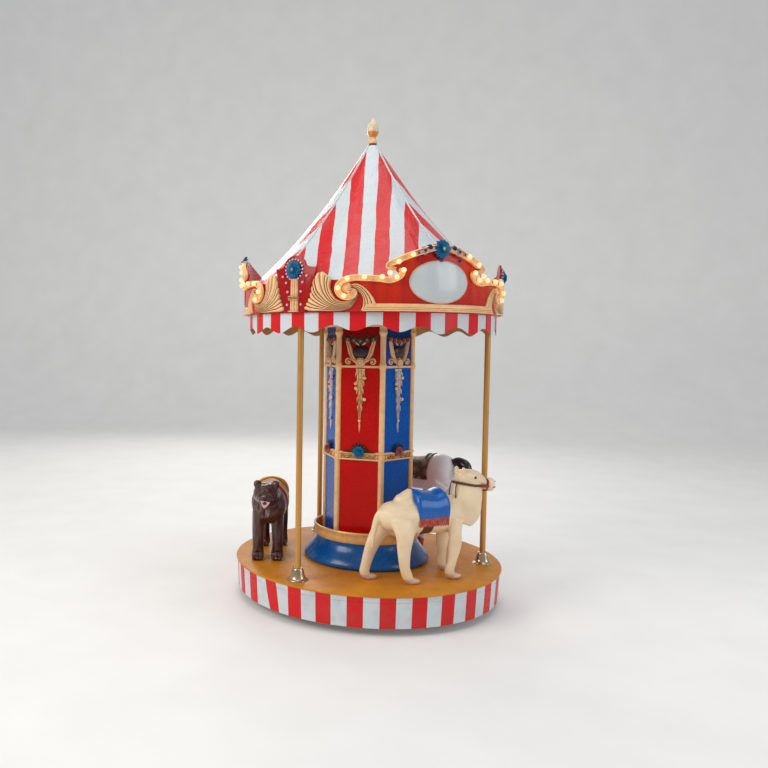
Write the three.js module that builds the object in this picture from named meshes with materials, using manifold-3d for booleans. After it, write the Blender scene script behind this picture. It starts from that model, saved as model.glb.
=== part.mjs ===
// A small fairground carousel for children: a round deck with three riding figures turns as one with
// its six-sided column, three poles and tented canopy, on a steel base frame that stands on the floor.
// Millimetres, +Z up. The origin is on the axis of turning, at the floor. Azimuth 0 points to -Y, where
// the front crest is, and grows anticlockwise seen from above, so azimuth 90 points to +X.
import * as THREE from "three";
import { mergeVertices } from "three/addons/utils/BufferGeometryUtils.js";
import Module from "manifold-3d";

const wasm = await Module();
wasm.setup();

// Driving dimensions
const SEAT = 0.3; // gap between two pieces that touch
const DECK_RADIUS = 900;
const DECK_TOP = 250;
const DECK_THICKNESS = 12;
const SKIRT_RADIUS = 893;
const SKIRT_LOW = 50;
const SKIRT_RAKE = 16; // how far the skirt leans in at its foot
const POLE_CIRCLE = 781;
const POLE_RADIUS = 19;
const COLUMN_TURN = -10; // azimuth of one corner of the column, degrees
const COLUMN_CORNER_CIRCLE = 292;
const CANOPY_LOW = 1909;
const VALANCE_RADIUS = 828;
const CROWN_RADIUS = 840;
const CROWN_TOP = 2099;
const TENT_TOP = 3066;
const MAST_RADIUS = 27;

// Derived levels
const DECK_LOW = DECK_TOP - DECK_THICKNESS;
const ON_DECK = DECK_TOP + SEAT;
const UNDER_CANOPY = CANOPY_LOW - SEAT;

// Finishes
const GOLD = { color: 0xd8a45e, roughness: 0.42, metalness: 0.35 };
const RED = { color: 0xb01208, roughness: 0.28, metalness: 0 };
const BLUE = { color: 0x004f9c, roughness: 0.28, metalness: 0 };
const STEEL = { color: 0x4a4d50, roughness: 0.6, metalness: 0.7 };
const BRASS = { color: 0xb5762a, roughness: 0.3, metalness: 0.9 };
const DECK_PAINT = { color: 0xc07a16, roughness: 0.5, metalness: 0 };
const VINYL = { color: 0xd8dde0, roughness: 0.45, metalness: 0 };
const CREAM = { color: 0xe6cba4, roughness: 0.35, metalness: 0 };
const WHITE = { color: 0xe8eaee, roughness: 0.3, metalness: 0 };
const BROWN = { color: 0x46150f, roughness: 0.25, metalness: 0 };
const LEATHER_RED = { color: 0x9c1d12, roughness: 0.45, metalness: 0 };

const carousel = new THREE.Group();
carousel.name = "carousel";

const radians = THREE.MathUtils.degToRad;

// A point at an azimuth and radius, in plan.
function plan(azimuth, radius) {
  const turn = radians(azimuth);
  return new THREE.Vector2(radius * Math.sin(turn), -radius * Math.cos(turn));
}

function place(name, geometry, finish, parent = carousel) {
  const mesh = new THREE.Mesh(geometry, new THREE.MeshStandardMaterial(finish));
  mesh.name = name;
  parent.add(mesh);
  return mesh;
}

// Booleans on closed geometries
function solid(geometry) {
  const bare = geometry.clone();
  bare.deleteAttribute("normal");
  bare.deleteAttribute("uv");
  const merged = mergeVertices(bare, 1e-3);
  return new wasm.Manifold(
    new wasm.Mesh({
      numProp: 3,
      vertProperties: new Float32Array(merged.attributes.position.array),
      triVerts: new Uint32Array(merged.index.array),
    }),
  );
}

function geometryOf(body) {
  const mesh = body.getMesh();
  const geometry = new THREE.BufferGeometry();
  geometry.setAttribute("position", new THREE.BufferAttribute(new Float32Array(mesh.vertProperties), 3));
  geometry.setIndex(new THREE.BufferAttribute(new Uint32Array(mesh.triVerts), 1));
  geometry.computeVertexNormals();
  return geometry;
}

function joined(...shapes) {
  return geometryOf(shapes.map(solid).reduce((all, next) => all.add(next)));
}

const cut = (shape, tool) => geometryOf(solid(shape).subtract(solid(tool)));
const common = (shape, tool) => geometryOf(solid(shape).intersect(solid(tool)));

// Round shapes turned about the vertical axis, from [radius, z] corners going round the outline.
function turned(corners, segments, { hollow = false, start = 0 } = {}) {
  const outline = corners.map(([radius, z]) => new THREE.Vector2(radius, z));
  if (hollow) outline.push(outline[0].clone());
  const geometry = new THREE.LatheGeometry(outline, segments, radians(start));
  return geometry.rotateX(Math.PI / 2);
}

// A ring of rectangular section.
function hoop(inner, outer, low, high, segments, start = 0) {
  const corners = [[inner, low], [outer, low], [outer, high], [inner, high]];
  return turned(corners, segments, { hollow: true, start });
}

function disc(radius, low, high, segments) {
  return turned([[0, low], [radius, low], [radius, high], [0, high]], segments);
}

// A bar of rectangular section from one radius to another, along an azimuth.
function radialBar(azimuth, from, to, width, low, high) {
  const bar = new THREE.BoxGeometry(width, to - from, high - low);
  bar.translate(0, -(from + to) / 2, (low + high) / 2);
  return bar.rotateZ(radians(azimuth));
}

const uprightBar = (x, y, radius, low, high, sides) =>
  new THREE.CylinderGeometry(radius, radius, high - low, sides)
    .rotateX(Math.PI / 2)
    .translate(x, y, (low + high) / 2);

const sixfold = (make) => Array.from({ length: 6 }, (_, index) => make(index * 60));

// Fixed base
const BASE_ARM_REACH = 700;
const FOOT_HEIGHT = 22;
const RAIL_TOP = 72;
const BEARING_TOP = 150;
const SPINDLE_RADIUS = 30;
const SPINDLE_TOP = 195;

function baseFrame() {
  const arms = [45, 135, 225, 315].flatMap((azimuth) => {
    const end = plan(azimuth, BASE_ARM_REACH - 50);
    return [
      radialBar(azimuth, 0, BASE_ARM_REACH, 80, FOOT_HEIGHT - 2, RAIL_TOP),
      uprightBar(end.x, end.y, 55, 0, FOOT_HEIGHT, 12),
    ];
  });
  return joined(disc(170, FOOT_HEIGHT - 2, RAIL_TOP, 24), ...arms);
}

function pivotPost() {
  return turned(
    [
      [0, RAIL_TOP + SEAT],
      [120, RAIL_TOP + SEAT],
      [120, RAIL_TOP + 14],
      [78, RAIL_TOP + 22],
      [78, BEARING_TOP],
      [SPINDLE_RADIUS, BEARING_TOP],
      [SPINDLE_RADIUS, SPINDLE_TOP],
      [0, SPINDLE_TOP],
    ],
    32,
  );
}

place("base_frame", baseFrame(), STEEL);
place("pivot_post", pivotPost(), STEEL);

// Turning deck
const SKIRT_WALL = 4;

// A ring that leans in as the skirt does, set back from the skirt's face.
function leaningHoop(setBack, wall, low, high) {
  const face = (z) => SKIRT_RADIUS - setBack - (SKIRT_RAKE * (DECK_LOW - z)) / (DECK_LOW - SKIRT_LOW);
  const corners = [[face(low) - wall, low], [face(low), low], [face(high), high], [face(high) - wall, high]];
  return turned(corners, 48, { hollow: true });
}

function turntableFrame() {
  const top = DECK_LOW - SEAT;
  const hub = disc(150, BEARING_TOP + SEAT, top, 32);
  const bore = disc(SPINDLE_RADIUS + 2, BEARING_TOP - 10, SPINDLE_TOP + 3, 32);
  const arms = sixfold((azimuth) => radialBar(azimuth, 80, SKIRT_RADIUS - 35, 60, 160, top));
  const rim = leaningHoop(SKIRT_WALL + SEAT, 46, 165, top);
  return cut(joined(hub, rim, ...arms), bore);
}

function deck() {
  const edge = 4;
  return turned(
    [
      [0, DECK_LOW],
      [DECK_RADIUS - edge, DECK_LOW],
      [DECK_RADIUS, DECK_LOW + edge],
      [DECK_RADIUS, DECK_TOP - edge],
      [DECK_RADIUS - edge, DECK_TOP],
      [0, DECK_TOP],
    ],
    72,
  );
}

place("turntable_frame", turntableFrame(), STEEL);
place("deck", deck(), DECK_PAINT);
place("deck_skirt", leaningHoop(0, SKIRT_WALL, SKIRT_LOW, DECK_LOW - SEAT), VINYL);

// Column
const PANEL_THICKNESS = 14;
const POST_RADIUS = 20;
const FACE_DISTANCE = COLUMN_CORNER_CIRCLE * Math.cos(radians(30)) + PANEL_THICKNESS / 2;
const BAND_INNER = (FACE_DISTANCE + SEAT) / Math.cos(radians(30));

// A six-sided ring round the column, lying on its panels.
const columnRing = (depth, low, high) => hoop(BAND_INNER, BAND_INNER + depth, low, high, 6, COLUMN_TURN);

function columnFrame() {
  const posts = sixfold((turn) => {
    const foot = plan(COLUMN_TURN + turn, COLUMN_CORNER_CIRCLE);
    return uprightBar(foot.x, foot.y, POST_RADIUS, ON_DECK, UNDER_CANOPY, 8);
  });
  const rings = [columnRing(20, 928, 1007), columnRing(12, 1566, 1578), columnRing(26, 1829, UNDER_CANOPY)];
  return joined(...posts, ...rings);
}

function columnPanel(azimuth) {
  const width = COLUMN_CORNER_CIRCLE - 2 * (POST_RADIUS + SEAT);
  const height = UNDER_CANOPY - ON_DECK;
  const panel = new THREE.BoxGeometry(width, PANEL_THICKNESS, height);
  panel.translate(0, -(FACE_DISTANCE - PANEL_THICKNESS / 2), ON_DECK + height / 2);
  return panel.rotateZ(radians(azimuth));
}

function columnBase() {
  const shoulder = new THREE.QuadraticBezierCurve(
    new THREE.Vector2(421, 298),
    new THREE.Vector2(400, 350),
    new THREE.Vector2(362, 385),
  );
  const sweep = shoulder.getPoints(4).map((point) => [point.x, point.y]);
  const foot = [[344, ON_DECK], [405, ON_DECK], [417, 267], [421.5, 284]];
  return turned([...foot, ...sweep, [344, 385]], 36, { hollow: true });
}

const PLINTH_LOW = 385 + SEAT;
place("column_mast", uprightBar(0, 0, MAST_RADIUS, ON_DECK, TENT_TOP - SEAT, 16), STEEL);
place("column_frame", columnFrame(), GOLD);
for (let side = 0; side < 6; side += 1) {
  const azimuth = COLUMN_TURN + 30 + side * 60;
  const isBlue = side % 2 === 0;
  const number = Math.floor(side / 2) + 1;
  place(`column_panel_${isBlue ? "blue" : "red"}_${number}`, columnPanel(azimuth), isBlue ? BLUE : RED);
}
place("column_base", columnBase(), BLUE);
place(
  "column_plinth",
  hoop(345, 356, PLINTH_LOW, 470, 36),
  GOLD,
);

// Poles
const BELL_HEIGHT = 76;
function poleBell() {
  const outline = [
    [POLE_RADIUS + SEAT, ON_DECK],
    [64, ON_DECK],
    [62, DECK_TOP + 10],
    [46, DECK_TOP + 26],
    [38, DECK_TOP + 60],
    [32, DECK_TOP + BELL_HEIGHT],
    [POLE_RADIUS + SEAT, DECK_TOP + BELL_HEIGHT],
  ];
  return turned(outline, 16, { hollow: true });
}

const POLES = { left: -60, right: 60, rear: 180 };
for (const [side, azimuth] of Object.entries(POLES)) {
  const foot = plan(azimuth, POLE_CIRCLE);
  const pole = place(`pole_${side}`, uprightBar(0, 0, POLE_RADIUS, ON_DECK, UNDER_CANOPY, 16), BRASS);
  const bell = place(`pole_bell_${side}`, poleBell(), BRASS);
  pole.position.set(foot.x, foot.y, 0);
  bell.position.set(foot.x, foot.y, 0);
}

// Canopy
const FRAME_TOP = CANOPY_LOW + 25;
const RING_INNER = POLE_CIRCLE - 26;
const VALANCE_LOW = 1803;
const VALANCE_SWAY = 19.5;
const VALANCE_WAVES = 20;
const VALANCE_PHASE = 1.9; // azimuth of one of its lowest points, degrees

// The arms run from the mast's hub to the rim ring that the poles carry.
function canopyArms() {
  const hub = hoop(MAST_RADIUS + 0.6, 90, CANOPY_LOW, FRAME_TOP, 16, 90);
  const reach = RING_INNER * Math.cos(radians(2.5)) - SEAT;
  return joined(hub, ...sixfold((azimuth) => radialBar(azimuth, 60, reach, 40, CANOPY_LOW, FRAME_TOP)));
}

// The lower edge of the valance waves up and down round the canopy.
function valance() {
  const segments = VALANCE_WAVES * 4;
  const ring = hoop(VALANCE_RADIUS - 3, VALANCE_RADIUS, VALANCE_LOW, FRAME_TOP, segments, VALANCE_PHASE);
  const points = ring.attributes.position;
  for (let i = 0; i < points.count; i += 1) {
    if (points.getZ(i) > VALANCE_LOW + 1) continue;
    const turn = Math.atan2(points.getX(i), -points.getY(i)) - radians(VALANCE_PHASE);
    points.setZ(i, VALANCE_LOW - VALANCE_SWAY * Math.cos(VALANCE_WAVES * turn));
  }
  return ring;
}

// The tent is a cone, a little hollow from top to eave, sewn from four gores. It hangs inside the crown.
const TENT_TOP_RADIUS = 36;
const TENT_EAVE_RADIUS = VALANCE_RADIUS + 0.7;
const TENT_WALL = 6;
const HEM = 14; // how far the hem hangs inside the crown ring
const TENT_FALL = 1.584;
const TENT_SAG = 0.000456;

function tentHeight(radius) {
  const out = radius - TENT_TOP_RADIUS;
  return TENT_TOP - TENT_FALL * out + TENT_SAG * out * out;
}

function tentShell() {
  const steps = 5;
  const outer = [[TENT_EAVE_RADIUS, CROWN_TOP - HEM]];
  const inner = [];
  for (let i = 0; i <= steps; i += 1) {
    const radius = THREE.MathUtils.lerp(TENT_EAVE_RADIUS, TENT_TOP_RADIUS, i / steps);
    outer.push([radius, tentHeight(radius)]);
    if (i < steps) inner.unshift([radius - TENT_WALL, tentHeight(radius) - TENT_WALL]);
  }
  const neck = MAST_RADIUS + 0.7;
  inner.unshift([neck, TENT_TOP], [neck, TENT_TOP - 2 * TENT_WALL]);
  inner.push([TENT_EAVE_RADIUS - TENT_WALL, CROWN_TOP - HEM]);
  return turned([...outer, ...inner], 36, { hollow: true });
}

// A quarter of the space round the axis, less half a seat on either side.
function quarter(azimuth) {
  const far = 1000;
  const wedge = new THREE.Shape();
  wedge.moveTo(0, -SEAT);
  wedge.lineTo(-far, -SEAT - far);
  wedge.lineTo(far, -SEAT - far);
  return new THREE.ExtrudeGeometry(wedge, { depth: TENT_TOP, bevelEnabled: false })
    .translate(0, 0, CANOPY_LOW)
    .rotateZ(radians(azimuth));
}

// A turned ornament: a collar that narrows to a waist, and a bud over it.
function finial() {
  const foot = TENT_TOP + SEAT;
  const collar = [[0, foot], [24, foot], [24, 3075], [31, 3089], [26, 3106], [19, 3126]];
  const bud = [[33, 3142], [41, 3164], [42, 3178], [35, 3204], [22, 3230], [7, 3252], [0, 3260]];
  return turned([...collar, ...bud], 16);
}

place("canopy_ring", hoop(RING_INNER, VALANCE_RADIUS - 3.9, CANOPY_LOW, FRAME_TOP, 72), STEEL);
place("canopy_arms", canopyArms(), STEEL);
place("valance", valance(), VINYL);
place("crown_ring", hoop(VALANCE_RADIUS + 1.1, CROWN_RADIUS, 1907, CROWN_TOP, 72), RED);
const shell = tentShell();
const GORES = { front: -30, right: 60, rear: 150, left: -120 };
for (const [side, azimuth] of Object.entries(GORES)) {
  place(`tent_gore_${side}`, common(shell, quarter(azimuth)), VINYL);
}
place("finial", finial(), GOLD);

// Crown: three crests and three small panels between them, bent round the crown ring
const CREST_BOARD = 16;
const BAND_RADIUS = 14;
const CREST_LOW = 1911;
const CREST_HALF = 37; // half the azimuth that a crest's board takes up, degrees
const MOULDING_HALF = 34;
const PANEL_HALF_LOW = 5.4; // the same of a small panel, at its foot and at its shoulders
const PANEL_HALF_HIGH = 10.4;
const BOARD_INNER = CROWN_RADIUS + SEAT;
const BOARD_OUTER = CROWN_RADIUS + CREST_BOARD;

// An outline in arc angle and height, cut through a ring: drawn on a flat sheet in front of the ring.
function ringPiece(outline, inner, outer) {
  const sheet = new THREE.ExtrudeGeometry(outline, { depth: 620, bevelEnabled: false });
  sheet.rotateX(Math.PI / 2).translate(0, -320, 0);
  return common(hoop(inner, outer, CREST_LOW - 60, 2400, 72), sheet);
}

const across = (azimuth) => CROWN_RADIUS * Math.sin(radians(azimuth));

function crestOutline() {
  const half = [
    [CREST_HALF, 2091], [26, 2097], [19, 2111], [15.5, 2135],
    [21, 2157], [17.5, 2191], [12, 2235], [6, 2267],
  ];
  const shape = new THREE.Shape();
  shape.moveTo(across(-CREST_HALF), CREST_LOW);
  half.forEach(([azimuth, z]) => shape.lineTo(across(-azimuth), z));
  shape.lineTo(0, 2279);
  half.reverse().forEach(([azimuth, z]) => shape.lineTo(across(azimuth), z));
  shape.lineTo(across(CREST_HALF), CREST_LOW);
  return shape;
}

// One gold scroll fan at an end of a crest; side is -1 or 1.
function fanOutline(side) {
  const shape = new THREE.Shape();
  const at = (azimuth) => across(side * azimuth);
  shape.moveTo(at(CREST_HALF + 0.3), CREST_LOW);
  shape.lineTo(at(60 - PANEL_HALF_LOW - 0.7), CREST_LOW);
  shape.lineTo(at(60 - PANEL_HALF_HIGH - 0.7), 2139);
  shape.quadraticCurveTo(at(43), 2155, at(41), 2099);
  shape.lineTo(at(CREST_HALF + 0.3), 2079);
  return shape;
}

// The gold band that edges a crest, from volute to volute, with its turns round the crown.
function crestBand() {
  const side = [
    [36.6, 2023], [35.2, 2005], [37.2, 1989], [40.2, 2011], [39.6, 2059],
    [36.5, 2093], [30, 2105], [24, 2105], [18.6, 2115], [15.6, 2139],
    [18.2, 2155], [19.6, 2175], [16.4, 2207], [11, 2247], [5, 2277],
  ];
  const route = [...side.map(([azimuth, z]) => [-azimuth, z]), [0, 2285], ...side.reverse()];
  const distance = BOARD_OUTER + BAND_RADIUS - SEAT;
  const points = route.map(([azimuth, z]) => {
    const foot = plan(azimuth, distance);
    return new THREE.Vector3(foot.x, foot.y, z);
  });
  const section = new THREE.Shape();
  section.absarc(0, 0, BAND_RADIUS, 0, 2 * Math.PI);
  return new THREE.ExtrudeGeometry(section, {
    steps: 44,
    curveSegments: 4,
    extrudePath: new THREE.CatmullRomCurve3(points),
  });
}

// The band and the two fans that it ends on are one gilt piece. The fans stand a little into the band.
function crestScroll() {
  const fans = [-1, 1].map((side) => ringPiece(fanOutline(side), BOARD_INNER, BOARD_OUTER + 2));
  return joined(crestBand(), ...fans);
}

function crestMoulding() {
  const inner = BOARD_OUTER + SEAT;
  const profile = [
    [inner, 1913], [inner + 22, 1913], [inner + 22, 1923],
    [inner + 14, 1937], [inner + 8, 1955], [inner, 1955],
  ];
  const far = 1200;
  const right = plan(MOULDING_HALF, far);
  const reach = new THREE.Shape([new THREE.Vector2(0, 0), new THREE.Vector2(-right.x, right.y), right]);
  const wedge = new THREE.ExtrudeGeometry(reach, { depth: 200, bevelEnabled: false });
  return common(turned(profile, 72, { hollow: true }), wedge.translate(0, 0, CREST_LOW - 60));
}

function ovalPlate() {
  const outline = new THREE.Shape();
  outline.absellipse(0, 2085, across(13.3), 125, 0, 2 * Math.PI);
  return ringPiece(outline, BOARD_OUTER + SEAT, BOARD_OUTER + SEAT + 10);
}

function smallPanelOutline() {
  const shape = new THREE.Shape();
  shape.moveTo(across(-PANEL_HALF_LOW), CREST_LOW);
  shape.lineTo(across(-PANEL_HALF_HIGH), 2179);
  shape.lineTo(across(-5.4), 2189);
  shape.quadraticCurveTo(across(-5.2), 2251, 0, 2251);
  shape.quadraticCurveTo(across(5.2), 2251, across(5.4), 2189);
  shape.lineTo(across(PANEL_HALF_HIGH), 2179);
  shape.lineTo(across(PANEL_HALF_LOW), CREST_LOW);
  return shape;
}

const CRESTS = { front: 0, right: 120, left: -120 };
for (const [side, azimuth] of Object.entries(CRESTS)) {
  const crest = new THREE.Group();
  crest.rotation.z = radians(azimuth);
  carousel.add(crest);
  place(`crest_${side}_board`, ringPiece(crestOutline(), BOARD_INNER, BOARD_OUTER), RED, crest);
  place(`crest_${side}_plate`, ovalPlate(), WHITE, crest);
  place(`crest_${side}_moulding`, crestMoulding(), GOLD, crest);
  place(`crest_${side}_scroll`, crestScroll(), GOLD, crest);
}
for (const [side, azimuth] of Object.entries(POLES)) {
  const panel = ringPiece(smallPanelOutline(), BOARD_INNER, BOARD_OUTER - 4);
  place(`crown_panel_${side}`, panel.rotateZ(radians(azimuth)), RED);
}

// Riding figures. Each is drawn in its own frame: X forward, Y to its left, Z up from the deck.
// A station is [x, y, z, half width, half depth] of a rounded limb, in order along it.
function limb(stations, grow = 0, sides = 8, rows = 6) {
  const middle = new THREE.CatmullRomCurve3(stations.map(([x, y, z]) => new THREE.Vector3(x, y, z)));
  const sizes = new THREE.CatmullRomCurve3(stations.map((row) => new THREE.Vector3(row[3], row[4], 0)));
  const geometry = new THREE.CylinderGeometry(1, 1, 1, sides, rows);
  const points = geometry.attributes.position;
  const left = new THREE.Vector3(0, 1, 0);
  for (let i = 0; i < points.count; i += 1) {
    const along = points.getY(i) + 0.5;
    const centre = middle.getPoint(along);
    const size = sizes.getPoint(along);
    const tangent = middle.getTangent(along);
    const deep = new THREE.Vector3().crossVectors(tangent, left).normalize();
    const wide = new THREE.Vector3().crossVectors(deep, tangent).normalize();
    centre.addScaledVector(deep, points.getX(i) * (size.y + grow));
    centre.addScaledVector(wide, points.getZ(i) * (size.x + grow));
    points.setXYZ(i, centre.x, centre.y, centre.z);
  }
  return geometry;
}

const ball = (x, y, z, rx, ry, rz, grow = 0) =>
  new THREE.SphereGeometry(1, 8, 6).scale(rx + grow, ry + grow, rz + grow).translate(x, y, z);

// Trims what would sink into the deck, so that the feet are flat.
const floorCut = () => new THREE.BoxGeometry(2000, 2000, 400).translate(0, 0, -200);

// The back of each figure is the trunk and what stands on it. A saddle lies on the back.
const camelBack = (grow) => [
  limb(
    [
      [-305, 0, 422, 22, 24], [-255, 0, 405, 80, 72], [-185, 0, 393, 104, 94], [-80, 0, 392, 112, 112],
      [40, 0, 392, 112, 112], [140, 0, 390, 110, 114], [225, 0, 392, 92, 118], [295, 0, 395, 50, 90],
    ],
    grow, 10, 9,
  ),
  ball(-92, 0, 470, 66, 60, 88, grow),
];

function camelShapes(grow) {
  const hind = (y, hock, foot) => limb(
    [
      [-185, y * 0.7, 392, 50, 94], [(hock - 185) / 2, y, 300, 42, 64], [hock, y, 215, 32, 46],
      [(hock + foot) / 2, y, 110, 24, 32], [foot, y, 46, 26, 32], [foot + 28, y, 8, 30, 20],
    ],
    grow,
  );
  const front = (y, knee, foot) => limb(
    [
      [200, y * 0.75, 375, 45, 66], [knee, y, 290, 34, 48], [knee, y, 212, 32, 48],
      [(knee + foot) / 2, y, 110, 24, 33], [foot, y, 46, 27, 34], [foot + 30, y, 8, 31, 20],
    ],
    grow,
  );
  const neck = [
    [290, 0, 325, 50, 60], [330, 0, 385, 66, 112], [350, 0, 455, 68, 122], [358, 0, 535, 60, 108],
    [355, 0, 610, 46, 66],
  ];
  const head = [
    [262, 0, 612, 26, 26], [320, 0, 606, 54, 48], [400, 0, 602, 52, 46], [470, 0, 578, 40, 38],
    [520, 0, 560, 34, 32],
  ];
  const tail = [
    [-290, 0, 440, 20, 22], [-318, 8, 390, 20, 24], [-338, 22, 300, 15, 18], [-344, 30, 228, 12, 14],
  ];
  return [
    ...camelBack(grow), limb(neck, grow, 8, 7), limb(head, grow, 8, 6), ball(536, 0, 557, 58, 46, 46, grow),
    hind(92, -298, -342), hind(-92, -192, -158), front(92, 246, 250), front(-92, 194, 186),
    limb(tail, grow, 6, 5), ball(288, 32, 645, 20, 14, 32, grow), ball(288, -32, 645, 20, 14, 32, grow),
  ];
}

const bearBack = (grow) => [
  limb(
    [
      [-290, 0, 355, 40, 50], [-235, 0, 368, 104, 112], [-120, 0, 378, 120, 132], [20, 0, 374, 120, 132],
      [140, 0, 370, 120, 132], [215, 0, 372, 108, 118], [270, 0, 385, 70, 84],
    ],
    grow, 10, 8,
  ),
];

function bearShapes(grow) {
  const leg = (x, y) => limb(
    [
      [x * 0.92, y * 0.9, 320, 50, 80], [x, y, 200, 42, 50], [x, y, 90, 37, 42], [x + 4, y, 36, 40, 46],
      [x + 34, y, 20, 38, 20],
    ],
    grow,
  );
  const head = [
    [200, 0, 440, 80, 80], [270, -4, 462, 92, 84], [330, -8, 450, 84, 72], [385, -10, 424, 52, 48],
    [425, -10, 412, 34, 32],
  ];
  return [
    ...bearBack(grow), limb(head, grow, 10, 7),
    leg(-215, 84), leg(-175, -84), leg(225, 58), leg(195, -72),
    ball(300, 54, 528, 18, 28, 30, grow), ball(300, -66, 528, 18, 28, 30, grow),
  ];
}

const horseBack = (grow) => [
  limb(
    [
      [-338, 0, 560, 30, 40], [-300, 0, 556, 88, 92], [-215, 0, 552, 110, 128], [-90, 0, 530, 108, 118],
      [40, 0, 520, 104, 114], [140, 0, 524, 102, 118], [220, 0, 535, 82, 108], [270, 0, 550, 30, 60],
    ],
    grow, 10, 9,
  ),
];

function horseShapes(grow) {
  const neck = [
    [190, 0, 545, 62, 95], [262, 0, 630, 50, 78], [306, 0, 715, 40, 62], [326, 0, 782, 34, 40],
    [330, 0, 812, 20, 20],
  ];
  const head = [
    [294, 0, 806, 22, 24], [334, 0, 788, 40, 46], [394, 0, 738, 32, 38], [444, 0, 688, 26, 30],
    [468, 0, 666, 14, 16],
  ];
  const hind = (y, knee, foot) => limb(
    [
      [-225, y * 0.7, 500, 52, 96], [knee, y, 340, 36, 50], [(knee + foot) / 2 - 24, y, 220, 25, 30],
      [foot - 4, y, 70, 22, 25], [foot + 10, y, 30, 27, 30], [foot + 16, y, 6, 30, 34],
    ],
    grow,
  );
  const front = (y, knee, foot) => limb(
    [
      [195, y * 0.75, 490, 42, 62], [knee, y, 310, 28, 34], [foot, y, 160, 21, 24], [foot, y, 70, 21, 24],
      [foot + 10, y, 30, 26, 29], [foot + 16, y, 6, 29, 33],
    ],
    grow,
  );
  const tail = [
    [-318, 0, 622, 20, 20], [-372, 0, 632, 34, 36], [-438, 0, 610, 38, 40], [-478, 0, 520, 36, 40],
    [-482, 0, 420, 16, 18],
  ];
  return [
    ...horseBack(grow), limb(neck, grow, 8, 5), limb(head, grow, 8, 5),
    hind(78, -150, -110), hind(-84, -262, -300), front(80, 215, 250), front(-80, 195, 180),
    limb(tail, grow, 8, 7), ball(320, 26, 836, 12, 9, 26, grow), ball(320, -26, 836, 12, 9, 26, grow),
  ];
}

// A saddle lies on the back between two stations and hangs to a hem height on both sides. Its bow is the
// part that stands up, in front of the rider or behind.
const SADDLE_THICKNESS = 20;
function saddleOn({ shapes, back, bow, from, to, hem }) {
  const span = new THREE.BoxGeometry(to - from, 1000, 1000).translate((from + to) / 2, 0, hem + 500);
  const skin = joined(...shapes(0.5));
  return cut(common(joined(...back(SADDLE_THICKNESS), ball(...bow)), span), skin);
}

// Where each figure stands on the deck, and the azimuth that it is turned by.
const FIGURES = [
  {
    name: "camel", azimuth: 8.8, circle: 570, turn: 5, skin: CREAM, cloth: BLUE,
    shapes: camelShapes, back: camelBack, bow: [112, 0, 500, 42, 70, 58], from: -62, to: 150, hem: 370,
  },
  {
    name: "bear", azimuth: -116.3, circle: 651, turn: -119, skin: BROWN, cloth: LEATHER_RED,
    shapes: bearShapes, back: bearBack, bow: [-78, 0, 458, 34, 96, 62], from: -130, to: 130, hem: 330,
  },
  {
    name: "horse", azimuth: 113.5, circle: 562, turn: 117, skin: WHITE, cloth: LEATHER_RED,
    shapes: horseShapes, back: horseBack, bow: [-120, 0, 630, 30, 84, 56], from: -165, to: 110, hem: 495,
  },
];
for (const figure of FIGURES) {
  const stand = new THREE.Group();
  const centre = plan(figure.azimuth, figure.circle);
  stand.position.set(centre.x, centre.y, ON_DECK);
  stand.rotation.z = radians(figure.turn);
  carousel.add(stand);
  place(`${figure.name}_figure`, cut(joined(...figure.shapes(0)), floorCut()), figure.skin, stand);
  place(`${figure.name}_saddle`, saddleOn(figure), figure.cloth, stand);
}

export default carousel;
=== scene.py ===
import math

import bmesh
import bpy
import numpy as np
from mathutils import Matrix, Vector
from mathutils.bvhtree import BVHTree
from mathutils.noise import noise


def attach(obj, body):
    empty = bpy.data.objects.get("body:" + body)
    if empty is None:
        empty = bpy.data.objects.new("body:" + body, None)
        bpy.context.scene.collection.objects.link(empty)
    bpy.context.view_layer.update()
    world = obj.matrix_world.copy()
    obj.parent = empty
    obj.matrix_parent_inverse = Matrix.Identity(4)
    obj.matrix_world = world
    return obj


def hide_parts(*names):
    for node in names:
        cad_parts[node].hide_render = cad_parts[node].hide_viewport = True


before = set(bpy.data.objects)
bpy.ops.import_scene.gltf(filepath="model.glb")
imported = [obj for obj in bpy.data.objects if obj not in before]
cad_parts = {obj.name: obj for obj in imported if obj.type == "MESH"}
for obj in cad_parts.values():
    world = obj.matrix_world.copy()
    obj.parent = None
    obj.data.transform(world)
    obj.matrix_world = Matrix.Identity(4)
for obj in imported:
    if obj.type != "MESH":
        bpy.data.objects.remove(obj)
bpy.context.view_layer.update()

# Driving sizes, in metres and degrees
DECK_RADIUS = 0.900
DECK_TOP = 0.250
DECK_LOW = 0.238
SKIRT_HIGH = 0.2377
SKIRT_LOW = 0.050
SKIRT_CREASE = 0.205
SKIRT_TOP_RADIUS = 0.8928
SKIRT_LEAN = 0.012
POLE_CIRCLE = 0.781
POLE_AZIMUTHS = {"left": -60, "right": 60, "rear": 180}
COLUMN_TURN = -10
CORNER_CIRCLE = 0.292
FACE_DISTANCE = 0.2599
ON_DECK = 0.2503
UNDER_CANOPY = 1.9087
VALANCE_RADIUS = 0.828
CROWN_RADIUS = 0.840
BOARD_OUTER = 0.856
TENT_TOP = 3.066
CREST_AZIMUTHS = {"front": 0, "right": 120, "left": -120}


def plan(azimuth, radius, z=0.0):
    """A point at an azimuth in degrees, a radius and a height."""
    turn = math.radians(azimuth)
    return Vector((radius * math.sin(turn), -radius * math.cos(turn), z))


def lerp(a, b, t):
    return a + (b - a) * t


def smooth_step(low, high, x):
    t = min(1.0, max(0.0, (x - low) / (high - low)))
    return t * t * (3 - 2 * t)


# Shader building


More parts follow.
